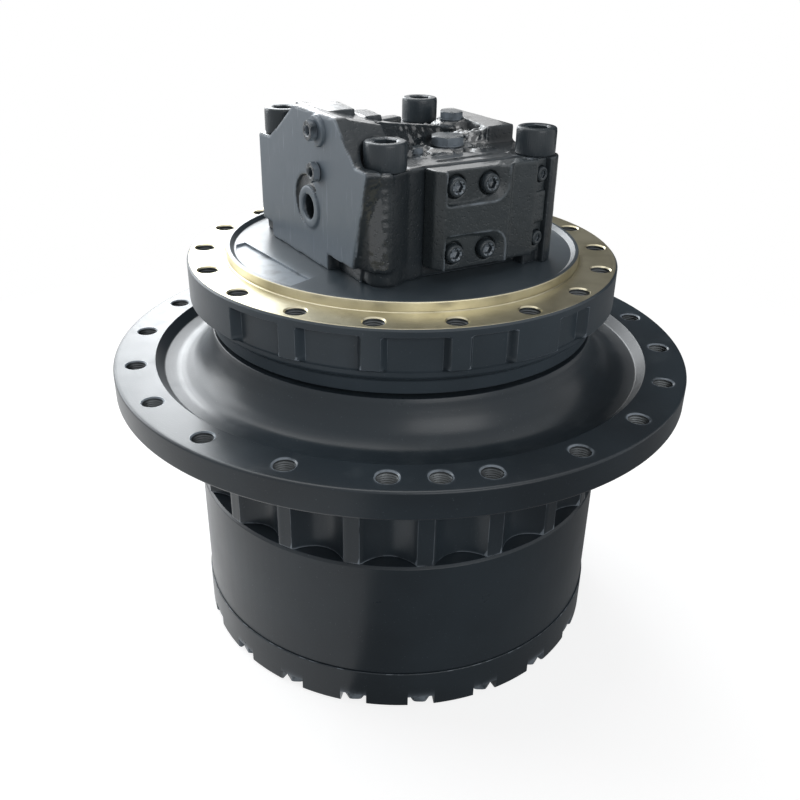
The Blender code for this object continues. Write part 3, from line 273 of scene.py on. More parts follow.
class Finish(Nodes):
    def __init__(self, name):
        self.material = bpy.data.materials.new(name)
        self.material.use_nodes = True
        super().__init__(self.material.node_tree)
        self.shader = self.tree.nodes["Principled BSDF"]
        self.place = self.add("ShaderNodeTexCoord", output="Object")

    def noise(self, scale, detail=2.0, roughness=0.5, place=None):
        inputs = {"Vector": place or self.place, "Scale": scale, "Detail": detail, "Roughness": roughness}
        return self.add("ShaderNodeTexNoise", {}, inputs)

    def cells(self, scale):
        return self.add("ShaderNodeTexVoronoi", {"feature": "F1"}, {"Vector": self.place, "Scale": scale})

    def ramp(self, value, low, high):
        # 0 below low, 1 above high, and a smooth rise between them
        settings = {"interpolation_type": "SMOOTHSTEP"}
        return self.add("ShaderNodeMapRange", settings, {"Value": value, "From Min": low, "From Max": high})

    def mix(self, factor, first, second):
        return self.add("ShaderNodeMix", {"data_type": "RGBA"}, {"Factor": factor, 6: first, 7: second}, 2)

    def mask(self, name):
        return self.add("ShaderNodeAttribute", {"attribute_name": name}, output="Fac")

    def upward(self):
        normal = self.add("ShaderNodeNewGeometry", output="Normal")
        return self.add("ShaderNodeSeparateXYZ", {}, {0: normal}, "Z")

    def turning(self, pitch, wobble=0.6):
        # rings round Z: noise that varies with the distance from the axis and with height only
        flat = self.add("ShaderNodeVectorMath", {"operation": "MULTIPLY"}, {0: self.place, 1: (1, 1, 0)})
        radius = self.add("ShaderNodeVectorMath", {"operation": "LENGTH"}, {0: flat}, "Value")
        height = self.add("ShaderNodeSeparateXYZ", {}, {0: self.place}, "Z")
        spread = self.noise(3.0) * wobble * pitch
        line = self.add("ShaderNodeCombineXYZ", {}, {0: radius + spread, 1: height})
        return self.noise(1 / pitch, 1.5, 0.6, line)

    def bump(self, height, distance, **normal):
        return self.add("ShaderNodeBump", {}, {"Height": height, "Distance": distance, **normal}, "Normal")

    def wear(self, tone, roughness, normal, coat=None):
        for key, value in (("Base Color", tone), ("Roughness", roughness), ("Normal", normal),
                           ("Coat Weight", coat)):
            if value is not None:
                self.tree.links.new(value.socket, self.shader.inputs[key])

    def set(self, **values):
        for key, value in values.items():
            self.shader.inputs[key.replace("_", " ")].default_value = value
        return self.material


paintTones = {
    "base": colour(50, 59, 66),
    "deep": colour(40, 47, 53),
    # light tone for specks, scratches and worn edges, which also paints the highlights on bevels
    "wearAndHighlight": colour(150, 160, 170),
    "dust": colour(98, 106, 110),
    "shadow": colour(30, 34, 37),
}


def glossPaint(name, tones, gloss=0.3, rings=0.25, peel=0.35, coat=0.0, film=0.13):
    # thin gloss paint over turned metal: broad clouds, fine peel, turning rings and dust on what faces up
    finish = Finish(name)
    cloud = finish.ramp(finish.noise(7, 3), 0.32, 0.7)
    dust = finish.ramp(finish.noise(38, 5, 0.65), 0.5, 0.82) * finish.ramp(finish.upward(), 0.3, 0.95)
    specks = finish.ramp(finish.noise(620, 1), 0.7, 0.8)
    # edges get a lighter tone, partly wear and partly a painted highlight on their bevels; the high power keeps it
    # within a millimetre or two of an edge, however long the faces beside it are
    edge = finish.mask("edge") ** 12.0 * finish.ramp(finish.noise(55, 4), 0.3, 0.55)
    tone = finish.mix(cloud, tones["deep"], tones["base"])
    tone = finish.mix(dust * 0.16, tone, tones["dust"])
    tone = finish.mix(specks * 0.12, tone, tones["wearAndHighlight"])
    tone = finish.mix(edge * 0.75, tone, tones["wearAndHighlight"])
    smear = finish.noise(24, 4, 0.6)
    roughness = gloss - 0.06 + smear * 0.12 + dust * 0.12
    height = finish.noise(520, 2) * peel + finish.turning(0.0011) * rings
    wet = finish.ramp(finish.upward(), 0.6, 0.95) * (coat - 0.2 * coat * smear) if coat else None
    finish.wear(tone, roughness, finish.bump(height, 0.00012), wet)
    return finish.set(Specular_IOR_Level=0.3, Coat_IOR=1.75, Coat_Roughness=film)


def castPaint(name, tones, gloss=0.27):
    # thick paint over a casting; the mask "machined" marks faces milled flat before painting, and "wet" the parts
    # where it lies thick and shines
    finish = Finish(name)
    flat = finish.mask("machined")
    cloud = finish.ramp(finish.noise(13, 3), 0.3, 0.7)
    grit = finish.noise(230, 4, 0.62)
    pits = finish.ramp(finish.cells(330), 0.05, 0.35)
    streak = finish.add("ShaderNodeVectorMath", {"operation": "MULTIPLY"}, {0: finish.place, 1: (1, 1, 0.12)})
    scratches = finish.ramp(finish.noise(260, 2, 0.5, streak), 0.62, 0.74) * flat
    tone = finish.mix(cloud, tones["deep"], tones["base"])
    # milled faces get a much lighter tone: partly their own smoother finish, partly painted light from the window
    # falling on the left face
    tone = finish.mix(flat * 0.8, tone, tones["face"])
    tone = finish.mix(finish.ramp(grit, 0.55, 0.75) * 0.2 * (1 - flat), tone, tones["shadow"])
    tone = finish.mix(scratches * 0.3, tone, tones["wearAndHighlight"])
    # edges get a lighter tone, partly wear and partly a painted highlight on their bevels
    edge = finish.mask("edge") * finish.ramp(finish.noise(60, 4), 0.3, 0.6)
    tone = finish.mix(edge * 0.7, tone, tones["wearAndHighlight"])
    wet = finish.mask("wet")
    roughness = gloss + flat * 0.1 + finish.noise(40, 3) * 0.12 - wet * 0.12
    coarse = finish.bump((grit * 0.8 + pits * 0.5) * (1 - flat) * (1 + wet * 2), 0.0004)
    fine = finish.bump(finish.noise(700, 2) * 0.4 + scratches * -0.3, 0.00014, Normal=coarse)
    top = finish.ramp(finish.upward(), 0.8, 0.97) * 0.75
    finish.wear(tone, roughness, fine, wet.math("MAXIMUM", top, wet))
    return finish.set(Specular_IOR_Level=0.38, Coat_IOR=1.75, Coat_Roughness=0.1)


def bareMetal(name, light, dark, gloss, pitch, stain=None, metallic=0.9):
    # turned metal left bare: fine rings, cloudy oil film and a few darker stains
    finish = Finish(name)
    cloud = finish.ramp(finish.noise(16, 4, 0.6), 0.3, 0.72)
    marks = finish.turning(pitch)
    stains = finish.ramp(finish.noise(33, 5, 0.7), 0.56, 0.78)
    tone = finish.mix(cloud, light, dark)
    tone = finish.mix(marks * 0.25, tone, light)
    tone = finish.mix(stains * 0.45, tone, stain or dark)
    roughness = gloss + marks * 0.14 + stains * 0.15
    finish.wear(tone, roughness, finish.bump(marks + finish.noise(900, 1) * 0.2, 0.00008))
    return finish.set(Metallic=metallic)


def plainIron(name, light, dark, gloss, metallic, grit=1.0):
    # inner pieces: cast, ground or moulded, by how coarse the grit is
    finish = Finish(name)
    cloud = finish.ramp(finish.noise(22, 4, 0.6), 0.3, 0.7)
    grains = finish.noise(480, 3, 0.6)
    tone = finish.mix(cloud, light, dark)
    tone = finish.mix(grains * 0.25, tone, dark)
    roughness = gloss + grains * 0.16
    finish.wear(tone, roughness, finish.bump(grains, 0.0002 * grit))
    return finish.set(Metallic=metallic)


paint = glossPaint("hubPaint", paintTones, coat=0.2, film=0.3)
# the motor case has the hub's blue-grey paint, painted lighter here: painted light on the upper parts, which the
# lamps light no more than the drum
litCaseTones = dict(paintTones, base=colour(68, 78, 86), deep=colour(56, 65, 72))
litCasePaint = glossPaint("litCasePaint", litCaseTones, 0.34, 0.15, 0.5, 0.6, 0.38)
castTones = dict(paintTones, base=colour(48, 55, 60), deep=colour(36, 42, 46), face=colour(104, 116, 127))
cast = castPaint("castingPaint", castTones)
valveTones = dict(castTones, base=colour(58, 65, 69), deep=colour(48, 54, 57))
valvePaint = castPaint("valveCoverPaint", valveTones, 0.3)
# the screws and plugs have the same blue-grey paint, painted lighter here as painted light
litScrewTones = dict(paintTones, base=colour(62, 70, 76), deep=colour(52, 59, 64))
litScrewPaint = glossPaint("litScrewPaint", litScrewTones, 0.26, 0.0, 0.8)
flangeMetal = bareMetal("bareFlange", colour(206, 200, 176), colour(164, 157, 130), 0.27, 0.0007,
                        colour(118, 106, 76))
threadMetal = bareMetal("threadMetal", colour(104, 108, 110), colour(52, 56, 60), 0.35, 0.0011,
                        colour(40, 40, 38), 0.7)
steel = bareMetal("turnedSteel", colour(178, 180, 182), colour(132, 134, 136), 0.26, 0.0005)
hardSteel = bareMetal("hardenedSteel", colour(120, 124, 130), colour(84, 88, 94), 0.3, 0.0008)
iron = plainIron("castIron", colour(116, 116, 118), colour(80, 80, 84), 0.5, 0.8, 2.0)
bronze = bareMetal("bearingBronze", colour(190, 150, 92), colour(146, 108, 58), 0.32, 0.0008)
lining = plainIron("frictionLining", colour(92, 78, 62), colour(58, 48, 38), 0.75, 0.0, 3.0)
rubber = plainIron("sealRubber", colour(38, 38, 38), colour(26, 26, 26), 0.6, 0.0)
print("finishes made")


def dress(piece, materials, body, slot, *replaced):
    piece.data.materials.clear()
    for material in materials:
        piece.data.materials.append(material)
    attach(piece, body)
    if replaced:
        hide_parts(*replaced)
    return piece


def setMask(piece, name, values):
    layer = piece.data.attributes.get(name) or piece.data.attributes.new(name, "FLOAT", "POINT")
    layer.data.foreach_set("value", np.asarray(values, np.float32))


def cornersOf(piece):
    flat = np.empty(len(piece.data.vertices) * 3, np.float32)
    piece.data.vertices.foreach_get("co", flat)
    return flat.reshape(-1, 3) / mm


def markEdges(piece, angle=30.0, low=-1.0, bore=0.0):
    # 1 on the vertices of each edge whose two faces differ by more than the angle, above the given height and
    # outside the bore
    cage = bmesh.new()
    cage.from_mesh(piece.data)
    limit = math.radians(angle)
    marked = np.zeros(len(cage.verts))
    sharp = [v.index for e in cage.edges if len(e.link_faces) == 2 and e.calc_face_angle(0) > limit
             for v in e.verts]
    marked[sharp] = 1
    corners = cornersOf(piece)
    marked[(corners[:, 2] < low) | (np.hypot(corners[:, 0], corners[:, 1]) < bore)] = 0
    cage.free()
    setMask(piece, "edge", marked)


def paintFaces(piece, index, chosen):
    # gives the faces that pass the test another material; it takes their middles, radii and heights
    count = len(piece.data.polygons)
    centres = np.empty(count * 3, np.float32)
    piece.data.polygons.foreach_get("center", centres)
    slots = np.empty(count, np.int32)
    piece.data.polygons.foreach_get("material_index", slots)
    middles = centres.reshape(-1, 3) / mm
    slots[chosen(middles, np.hypot(middles[:, 0], middles[:, 1]), middles[:, 2])] = index
    piece.data.polygons.foreach_set("material_index", slots)


def nearHoles(middles, spots, reach):
    x, y = np.array(spots).T
    return np.hypot(middles[:, 0, None] - x, middles[:, 1, None] - y).min(1) < reach


def threadedHoles(name, spots, radius, face, depth, through, pitch=2.0, chamfer=1.1):
    # a cutter for each hole: a chamfer at the face, then V grooves one pitch apart, then a plain end
    grooves = np.arange(face - chamfer - 1.0, face - depth + pitch, -pitch)
    line = [(0, face + 3), (radius + chamfer + 3, face + 3), (radius, face - chamfer)]
    for z in grooves:
        line += [(radius - 0.1, z), (radius + 0.75, z - pitch / 2)]
    line += [(radius - 0.1, grooves[-1] - pitch)]
    if through:
        line += [(radius, face - depth + chamfer), (radius + chamfer + 1, face - depth - 1), (0, face - depth - 1)]
    else:
        line += [(radius - 1.0, face - depth), (0, face - depth - 4)]
    points, faces = turnedGrid(line[::-1], fullTurn(28))
    return meshPiece(name, *gathered([points + (x, y, 0) for x, y in spots], faces))


def hexagonScale(angle):
    # a hexagon's radius over its corner radius, as the angle turns
    turn = np.mod(angle + np.pi / 6, np.pi / 3) - np.pi / 6
    return math.cos(math.pi / 6) / np.cos(np.pi / 6 - np.abs(turn))


def hexagonRows(corner, low, high, angle, shank=0.0, shankLow=0.0, washer=0.0):
    # rows of a hexagon head with a turned chamfer on top, and a washer face or a shank below
    six = corner * hexagonScale(angle)
    cut = corner * 0.9
    drop = np.maximum(six - cut, 0) * 0.55
    rows = [(0, shankLow), (shank, shankLow), (shank, low)] if shank else [(0, low)]
    if washer:
        rows += [(corner * 0.93, low), (corner * 0.93, low + washer)]
        low += washer
    rows += [(six - 0.2, low), (six, low + 0.3), (six, high - drop), (np.minimum(six, cut) - 0.3, high), (0, high)]
    return rows


def socketScrewRows(sizes, angle):
    # shank, head with a fine knurl, rounded rim, chamfered mouth and the hexagon socket's walls and floor
    head, top, seat = sizes["head"], sizes["top"], sizes["seat"]
    knurl = head - sizes["knurl"] * (0.5 + 0.5 * np.cos(angle * sizes["teeth"]))
    six = sizes["socket"] * hexagonScale(angle)
    rows = [(0, sizes["end"]), (sizes["shank"] - 1, sizes["end"]), (sizes["shank"], sizes["end"] + 1)]
    rows += [(sizes["shank"], seat), (head - 0.8, seat), (head - 0.2, seat + 0.6), (knurl, seat + 1.6)]
    rows += [(knurl, top - 3.2), (head - 0.2, top - 2.4)]
    rows += [(head - 0.2 - 1.8 * (1 - math.cos(a)), top - 1.8 * (1 - math.sin(a)))
             for a in np.linspace(0.2, 1.57, 4)]
    rows += [(sizes["socket"] + 1.1, top), (six + 0.05, top - 0.9), (six, top - 1.4), (six, top - sizes["depth"])]
    return rows + [(0, top - sizes["depth"] - 2.5)]


# Hub cover with its notched rim and the heads of the long bolts

coverSizes = {"radius": 201.0, "rim": 40.2, "inner": 178.0, "floor": 14.0, "notch": 24.0, "deep": 22.0,
              "high": 12.0, "circle": 190.0, "first": -82.8, "count": 20, "head": 10.5, "plugCircle": 100.0,
              "plug": 13.3}


def makeCover(s):
    rim = roundedLine([(0, 4, 0), (150, 4, 2), (156, 0, 1), (s["radius"] - 2.5, 0, 1.5), (s["radius"], 2.5, 1.5),
                       (s["radius"], s["rim"], 0.9), (s["inner"], s["rim"], 1), (s["inner"], 22, 3),
                       (s["inner"] - 10, s["floor"], 3), (0, s["floor"], 0)], steps=3)
    cover = meshPiece("hubCover", *turnedGrid(rim, fullTurn(360)))
    angles = [s["first"] + 360 / s["count"] * i for i in range(s["count"])]
    back, out, half = s["radius"] - s["deep"], s["radius"] + 8, s["notch"] / 2
    outline = roundedLine([(back, -half, 4), (out, -half - 0.4, 0), (out, half + 0.4, 0), (back, half, 4)],
                           closed=True)
    tools = []
    for angle in angles:
        turn = np.array([onCircle(1, angle), onCircle(1, angle + 90)])
        tools.append(prismPiece("coverNotch", outline @ turn, -3, s["high"]))
    for v in (-s["plugCircle"], s["plugCircle"]):
        points, faces = turnedGrid([(0, 3), (s["plug"], 3), (s["plug"], 15), (0, 15)], fullTurn(48))
        tools.append(meshPiece("plugHole", points + (0, v, 0), faces))
    cutFrom(cover, joinMeshes(*tools))
    markEdges(cover)
    dress(evenShade(cover), [paint], "hub", "blue_grey_paint", "hub_cover")
    # the bolts' heads hang under the notches' roofs, chamfer down
    turn = fullTurn(72)
    rows = [(r, s["high"] + 4.0 - z) for r, z in hexagonRows(s["head"], 4.0, s["high"], turn)]
    head, faces = turnedGrid(rows, turn)
    heads = [head + (*onCircle(s["circle"], angle), 0) for angle in angles]
    bolts = meshPiece("coverBolts", *gathered(heads, faces))
    markEdges(bolts)
    dress(bolts, [litScrewPaint], "hub", "blue_grey_paint")
    print("hub cover made")


# Ring gear: a smooth drum outside and sixty teeth inside

ringSizes = {"radius": 199.7, "low": 40.5, "high": 159.7, "teeth": 60, "tip": 166.7, "root": 177.0,
             "tipHalf": 0.0153, "rootHalf": 0.0327}


def makeRingGear(s):
    pitch = 2 * math.pi / s["teeth"]
    # one tooth: root, flank, flat tip, flank, root and the middle of the gap, by half angle and radius
    tip, root, middle = s["tipHalf"], s["rootHalf"], (s["root"] + s["tip"]) / 2
    flank = (root + tip) / 2 - 0.002
    within = np.array([-root, -flank, -tip, 0, tip, flank, root, pitch / 2])
    depth = np.array([s["root"], middle, s["tip"], s["tip"], s["tip"], middle, s["root"], s["root"] + 0.4])
    angle = (np.arange(s["teeth"])[:, None] * pitch + within).ravel()
    tooth = np.tile(depth, s["teeth"])
    drum = roundedLine([(190, s["low"], 0), (s["radius"], s["low"], 0.9), (s["radius"], s["high"] - 2.2, 0.8),
                        (s["radius"] - 2.2, s["high"], 0.8), (180, s["high"], 0)], steps=3)
    rows = [(tooth + 1, s["low"]), *drum, (tooth + 1, s["high"]), (tooth, s["high"] - 1), (tooth, s["low"] + 1)]
    ring = meshPiece("ringGear", *turnedGrid(rows, angle, True))
    markEdges(ring, 25)
    dress(evenShade(ring), [paint, steel], "hub", "blue_grey_paint", "ring_gear")
    paintFaces(ring, 1, lambda middles, radius, height: radius < 185)
    print("ring gear made")


# Hub: scalloped side, sprocket flange with its dish and neck, bearing seats and seal bore

hubSizes = {"side": 199.7, "low": 160.0, "under": 257.5, "flange": 270.0, "face": 282.5, "top": 309.5,
            "dish": 232.6, "pocket": 25.0, "pocketCircle": 210.0, "first": -91.8, "holes": 20,
            "holeCircle": 250.0, "hole": 8.75}


def makeHub(s):
    angle = fullTurn(720)
    pitch = 2 * math.pi / s["holes"]
    turn = np.mod(angle - math.radians(s["first"]) + pitch / 2, pitch) - pitch / 2
    # the pocket wall is the near side of a circle round a point outside the hub
    reach = np.maximum(s["pocket"] ** 2 - (s["pocketCircle"] * np.sin(turn)) ** 2, 0)
    wall = s["pocketCircle"] * np.cos(turn) - np.sqrt(reach)
    side = softMin(s["side"], wall, 12.0)
    face, edge = s["face"], s["flange"]
    rows = [(159.7, s["low"]), (side - 1.2, s["low"]), (side, s["low"] + 1.2)]
    rows += [(side, z) for z in np.linspace(168, s["under"] - 9, 9)]
    fillet = np.linspace(0, math.pi / 2, 6)[1:]
    rows += [(side + 7 * (1 - math.cos(a)), s["under"] - 7 + 7 * math.sin(a)) for a in fillet]
    rows += [(side + (edge - 2.6 - side) * t, s["under"]) for t in (0.25, 0.5, 0.94)]
    rim = roundedLine([(edge - 4.5, s["under"], 0), (edge, s["under"], 2.6), (edge, face, 2.2),
                       (edge - 4, face, 0)], steps=5)
    rows += list(rim[1:])
    # the dish: a sharp lip, a steep wall, a shallow floor and the long sweep up the neck
    lip = roundedLine([(s["dish"] + 5, face, 0), (s["dish"], face, 0.7), (s["dish"] - 7.5, face - 8.2, 3.0),
                       (s["dish"] - 17, face - 10.4, 0)], steps=4)
    rows += list(lip[1:])
    neck = smoothCurve([(211, -10.6), (204, -9.8), (197.5, -7.4), (190, -1), (184.5, 8),
                        (181.2, 17), (179.3, 24)], 5)
    rows += [(r, face + z) for r, z in neck]
    rows += list(roundedLine([(179.2, face + 24.4, 0), (178.2, s["top"], 1.0), (163, s["top"], 0.8),
                              (163, 289.5, 0), (150.3, 289.5, 0), (150.3, 234.0, 0), (143, 234.0, 0),
                              (143, 214.6, 0), (150.3, 214.6, 0), (150.3, 174.3, 0), (159.7, 168.3, 0)],
                             steps=3)[1:])
    hub = meshPiece("hubBody", *turnedGrid(rows, angle, True))
    # one more hole stands midway between the first two
    spots = [onCircle(s["holeCircle"], s["first"] + 360 / s["holes"] * i) for i in (*range(s["holes"]), 0.5)]
    cutFrom(hub, threadedHoles("sprocketThreads", spots, s["hole"], face, face - s["under"], True))
    markEdges(hub, 28)
    dress(evenShade(hub), [paint, threadMetal, steel], "hub", "blue_grey_paint", "hub")
    paintFaces(hub, 2, lambda middles, radius, height: radius < 162.9)
    paintFaces(hub, 1, lambda middles, radius, height: nearHoles(middles, spots, s["hole"] + 0.8)
               & (height < face - 1.2) & (height > s["under"] + 1.2))
    print("hub made")


# Motor case: skirt over the seal gap, frame flange with pockets, register, disc and the spindle inside

caseSizes = {"skirt": 177.6, "low": 313.5, "waist": 187.0, "flange": 196.0, "face": 375.7, "register": 161.0,
             "registerTop": 384.0, "disc": 380.5, "discEdge": 154.0, "back": 187.6, "pocketTop": 368.5,
             "holeCircle": 181.6, "hole": 8.5, "firstHole": 3.5, "holes": 18,
             "pockets": ((-134.4, -118.6), (-114.4, -98.6), (-94.4, -78.6), (-74.4, -62.5), (-50.5, -38.6))}


def makeCase(s):
    angle = fullTurn(1080)
    degrees = np.degrees(angle)
    within = np.zeros(len(angle))
    for first, last in s["pockets"]:
        for start in (first, first + 180):
            along = np.mod(degrees - start + 90, 360) - 90
            span = last - first
            within = np.maximum(within, step(0.1, 1.5, along) * (1 - step(span - 1.5, span - 0.1, along)))
    heights = np.concatenate([np.linspace(336.4, 345, 8), np.linspace(348, 364, 6), np.linspace(365.5, 370.5, 9)])
    # the side's own line: out from the waist over a short flare, then straight up
    own = s["waist"] + (s["flange"] - s["waist"]) * step(336.0, 341.5, heights)
    foot = 1.5 * np.exp(-((heights - 341) / 2.2) ** 2)
    depth = within * (1 - step(s["pocketTop"] - 1.6, s["pocketTop"] + 0.6, heights)[:, None])
    side = own[:, None] - np.maximum(own[:, None] - s["back"], 0) * depth
    side = np.minimum(side + foot[:, None] * (1 - within) * within * 4, s["flange"])
    skirt = roundedLine([(163, s["low"], 0), (s["skirt"], s["low"], 0.8), (s["skirt"] + 0.4, 325, 2),
                         (s["waist"], 331.6, 3), (s["waist"], 336.0, 0)], steps=3)
    rows = list(skirt) + list(zip(side, heights))
    rows += list(roundedLine([(s["flange"], 371.2, 0), (s["flange"], s["face"] - 1.7, 0.5),
                              (s["flange"] - 1.7, s["face"], 0.5), (s["register"] + 2.0, s["face"], 0.3),
                              (s["register"] + 1.0, s["face"] - 0.9, 0.3), (s["register"], s["face"], 0.3),
                              (s["register"], s["registerTop"], 1.0), (157.5, s["registerTop"], 0.6),
                              (s["discEdge"], s["disc"], 1.2), (78, s["disc"], 0), (78, 314.2, 0), (70, 314.2, 0),
                              (70, 202, 0), (45, 202, 0), (45, 178, 0), (36, 178, 0), (36, 164, 0), (30, 164, 0),
                              (30, 132, 0), (80, 132, 1), (80, 168, 0), (109, 168, 1), (109, 180, 0),
                              (115, 180, 0), (115, 268.6, 0), (124, 268.6, 0), (124, 333.5, 0), (163, 333.5, 0)],
                             steps=3))
    case = meshPiece("motorCase", *turnedGrid(rows, angle, True))
    spots = [onCircle(s["holeCircle"], s["firstHole"] + 360 / s["holes"] * i) for i in range(s["holes"])]
    screws = turnBlock([(u, v, 0) for u, v, radius in blockColumns])[:, :2]
    tools = [threadedHoles("frameThreads", spots, s["hole"], s["face"], 34, False),
             threadedHoles("screwThreads", screws, 10.3, s["disc"], 31, False)]
    points, faces = turnedGrid([(0, 181), (7.3, 181), (7.3, 204), (0, 204)], fullTurn(32))
    tools.append(meshPiece("speedBore", points + (0, 57, 0), faces))
    # the shallow recess for a label, between a chord and the register's wall
    label = [(-144.5, -9.5), (-76, -104)] + [onCircle(152.2, a) for a in np.linspace(-126.5, -173.5, 15)]
    tools.append(prismPiece("labelRecess", label, s["disc"] - 2.0, s["disc"] + 2.0))
    cutFrom(case, joinMeshes(*tools))
    markEdges(case, 28, 338, 100)
    dress(evenShade(case), [litCasePaint, flangeMetal, threadMetal, steel], "case", "blue_grey_paint", "motor_case")
    paintFaces(case, 1, lambda middles, radius, height: (radius < s["flange"] - 0.9)
               & (radius > s["register"] - 0.5) & (height > s["face"] - 1.2))
    paintFaces(case, 3, lambda middles, radius, height: (radius < 124.5) & (height < s["disc"] - 0.2))
    paintFaces(case, 2, lambda middles, radius, height: nearHoles(middles, spots, s["hole"] + 0.8)
               & (height < s["face"] - 1.2) & (height > s["face"] - 37))
    print("motor case made")


makeCover(coverSizes)
makeRingGear(ringSizes)
makeHub(hubSizes)
makeCase(caseSizes)


# Castings as fields: each form is a distance in space, the forms melt together, and the skin is where it is nought

def polygonField(x, y, outline):
    # signed distance to a closed outline in a plane, negative inside it
    corners = np.asarray(outline, float)
    best = np.full(np.broadcast(x, y).shape, 1e9)
    inside = np.zeros(best.shape, bool)
    for a, b in zip(corners, np.roll(corners, -1, 0)):
        edge = b - a
        px, py = x - a[0], y - a[1]
        t = np.clip((px * edge[0] + py * edge[1]) / max(edge @ edge, 1e-9), 0, 1)
        best = np.minimum(best, (px - t * edge[0]) ** 2 + (py - t * edge[1]) ** 2)
        crosses = (a[1] > y) != (b[1] > y)
        inside ^= crosses & (px < py * edge[0] / (edge[1] if edge[1] else 1e-9))
    return np.where(inside, -1, 1) * np.sqrt(best)


def slab(flat, height, low, high, rounding=0.0):
    # a flat field raised between two heights, with its edges rounded
    a = flat + rounding
    b = np.abs(height - (low + high) / 2) - (high - low) / 2 + rounding
    outside = np.sqrt(np.maximum(a, 0) ** 2 + np.maximum(b, 0) ** 2)
    return np.minimum(np.maximum(a, b), 0) + outside - rounding


def melt(first, *others, width=3.0):
    for other in others:
        first = softMin(first, other, width)
    return first


def scoop(body, tool, width=0.8):
    return -softMin(-body, tool, width)


def fieldPlaces(s):
    # x, y and z of the grid between the corners low and high, each shaped to spread over the other two
    counts = np.ceil((np.array(s["high"]) - np.array(s["low"])) / s["cell"]).astype(int) + 1
    spread = np.ogrid[:counts[0], :counts[1], :counts[2]]
    return [float(s["low"][k]) + steps * s["cell"] for k, steps in enumerate(spread)]


def skinOf(s, field):
    # surface nets: one point in each cell that the skin crosses, the mean of its edge crossings, and one quad for
    # each crossed edge. The grid's outermost places count as outside, so that the skin is closed
    field[[0, -1]] = field[:, [0, -1]] = field[:, :, [0, -1]] = 5.0
    shape = np.array(field.shape) - 1
    total = np.zeros((*shape, 3))
    count = np.zeros(shape)
    crossings = []
    inside = field < 0
    for axis in range(3):
        lower = tuple(slice(0, -1) if k == axis else slice(None) for k in range(3))
        upper = tuple(slice(1, None) if k == axis else slice(None) for k in range(3))
        crossed = inside[lower] != inside[upper]
        span = np.where(crossed, field[lower] - field[upper], 1.0)
        t = np.where(crossed, field[lower] / span, 0)
        crossings.append((crossed, inside[lower]))
        place = np.stack(np.meshgrid(*[np.arange(n) for n in crossed.shape], indexing="ij"), -1).astype(float)
        place[..., axis] += t
        place *= crossed[..., None]
        first, second = [k for k in range(3) if k != axis]
        for i in (0, 1):
            for j in (0, 1):
                part = [slice(None)] * 3
                part[first] = slice(i, shape[first] + i)
                part[second] = slice(j, shape[second] + j)
                total += place[tuple(part)]
                count += crossed[tuple(part)]
    held = count > 0
    index = np.full(shape, -1)
    index[held] = np.arange(held.sum())
    points = total[held] / count[held][:, None] * s["cell"] + np.array(s["low"], float)
    quads = []
    for axis in range(3):
        crossed, starts = crossings[axis]
        second, third = (axis + 1) % 3, (axis + 2) % 3
        where = np.argwhere(crossed)
        where = where[(where[:, second] > 0) & (where[:, third] > 0)
                      & (where[:, second] < shape[second]) & (where[:, third] < shape[third])]
        around = []
        for i, j in ((-1, -1), (0, -1), (0, 0), (-1, 0)):
            cellAt = where.copy()
            cellAt[:, second] += i
            cellAt[:, third] += j
            around.append(index[tuple(cellAt.T)])
        quad = np.stack(around, -1)
        outward = starts[tuple(where.T)]
        quads.append(np.where(outward[:, None], quad, quad[:, ::-1]))
    return points, np.concatenate(quads)


def relax(points, faces, rounds=2, amount=0.4):
    # moves each point towards the mean of its neighbours, so that the cells leave no steps
    edges = np.concatenate([faces[:, [k, (k + 1) % 4]] for k in range(4)])
    ends = np.concatenate([edges, edges[:, ::-1]])
    near = np.bincount(ends[:, 0], minlength=len(points))
    for _ in range(rounds):
        mean = np.stack([np.bincount(ends[:, 0], points[ends[:, 1], k], len(points)) for k in range(3)], -1)
        points = points + amount * (mean / near[:, None] - points)
    return points


def lumps(x, y, z, size, seed):
    # smooth noise: random values on a lattice, blended between its corners
    values = np.random.default_rng(seed).uniform(-1, 1, (24, 24, 24))
    places = [np.asarray(p, float) / size for p in np.broadcast_arrays(x, y, z)]
    low = [np.floor(p).astype(int) for p in places]
    part = [p - l for p, l in zip(places, low)]
    part = [t * t * (3 - 2 * t) for t in part]
    result = 0
    for corner in np.ndindex(2, 2, 2):
        weight = 1
        for end, near in zip(corner, part):
            weight = weight * (near if end else 1 - near)
        result = result + weight * values[tuple((at + end) % 24 for at, end in zip(low, corner))]
    return result


endSizes = {"cell": 1.4, "base": 380.8, "seat": 471.5, "wingTop": 507.0, "low": (-104, -116, 370),
            "high": (104, 112, 512), "largePlug": (22.0, -35.0), "smallPlug": (-16.0, -43.5),
            "relief": (60.0, 19.0), "port": (-8.0, 427.5)}
leftPlugs = {"upper": (-24.0, 493.5), "lower": (-23.0, 460.0)}
sidePad = {"azimuth": -76.0, "centre": blockColumns[1][:2]}
faceSlope = math.tan(math.radians(2))


def padPoint(offset, along):
    # a point by its distance out from the second column's axis and its place along the side pad
    azimuth = math.radians(sidePad["azimuth"])
    u, v = sidePad["centre"]
    return (u + offset * math.cos(azimuth) - along * math.sin(azimuth),
            v + offset * math.sin(azimuth) + along * math.cos(azimuth))


def arcOf(circle, first, last, steps=12):
    # points of a circle (u, v, radius) between two azimuths in degrees
    u, v, radius = circle
    turn = np.radians(np.linspace(first, last, steps))
    return np.column_stack([u + radius * np.cos(turn), v + radius * np.sin(turn)])


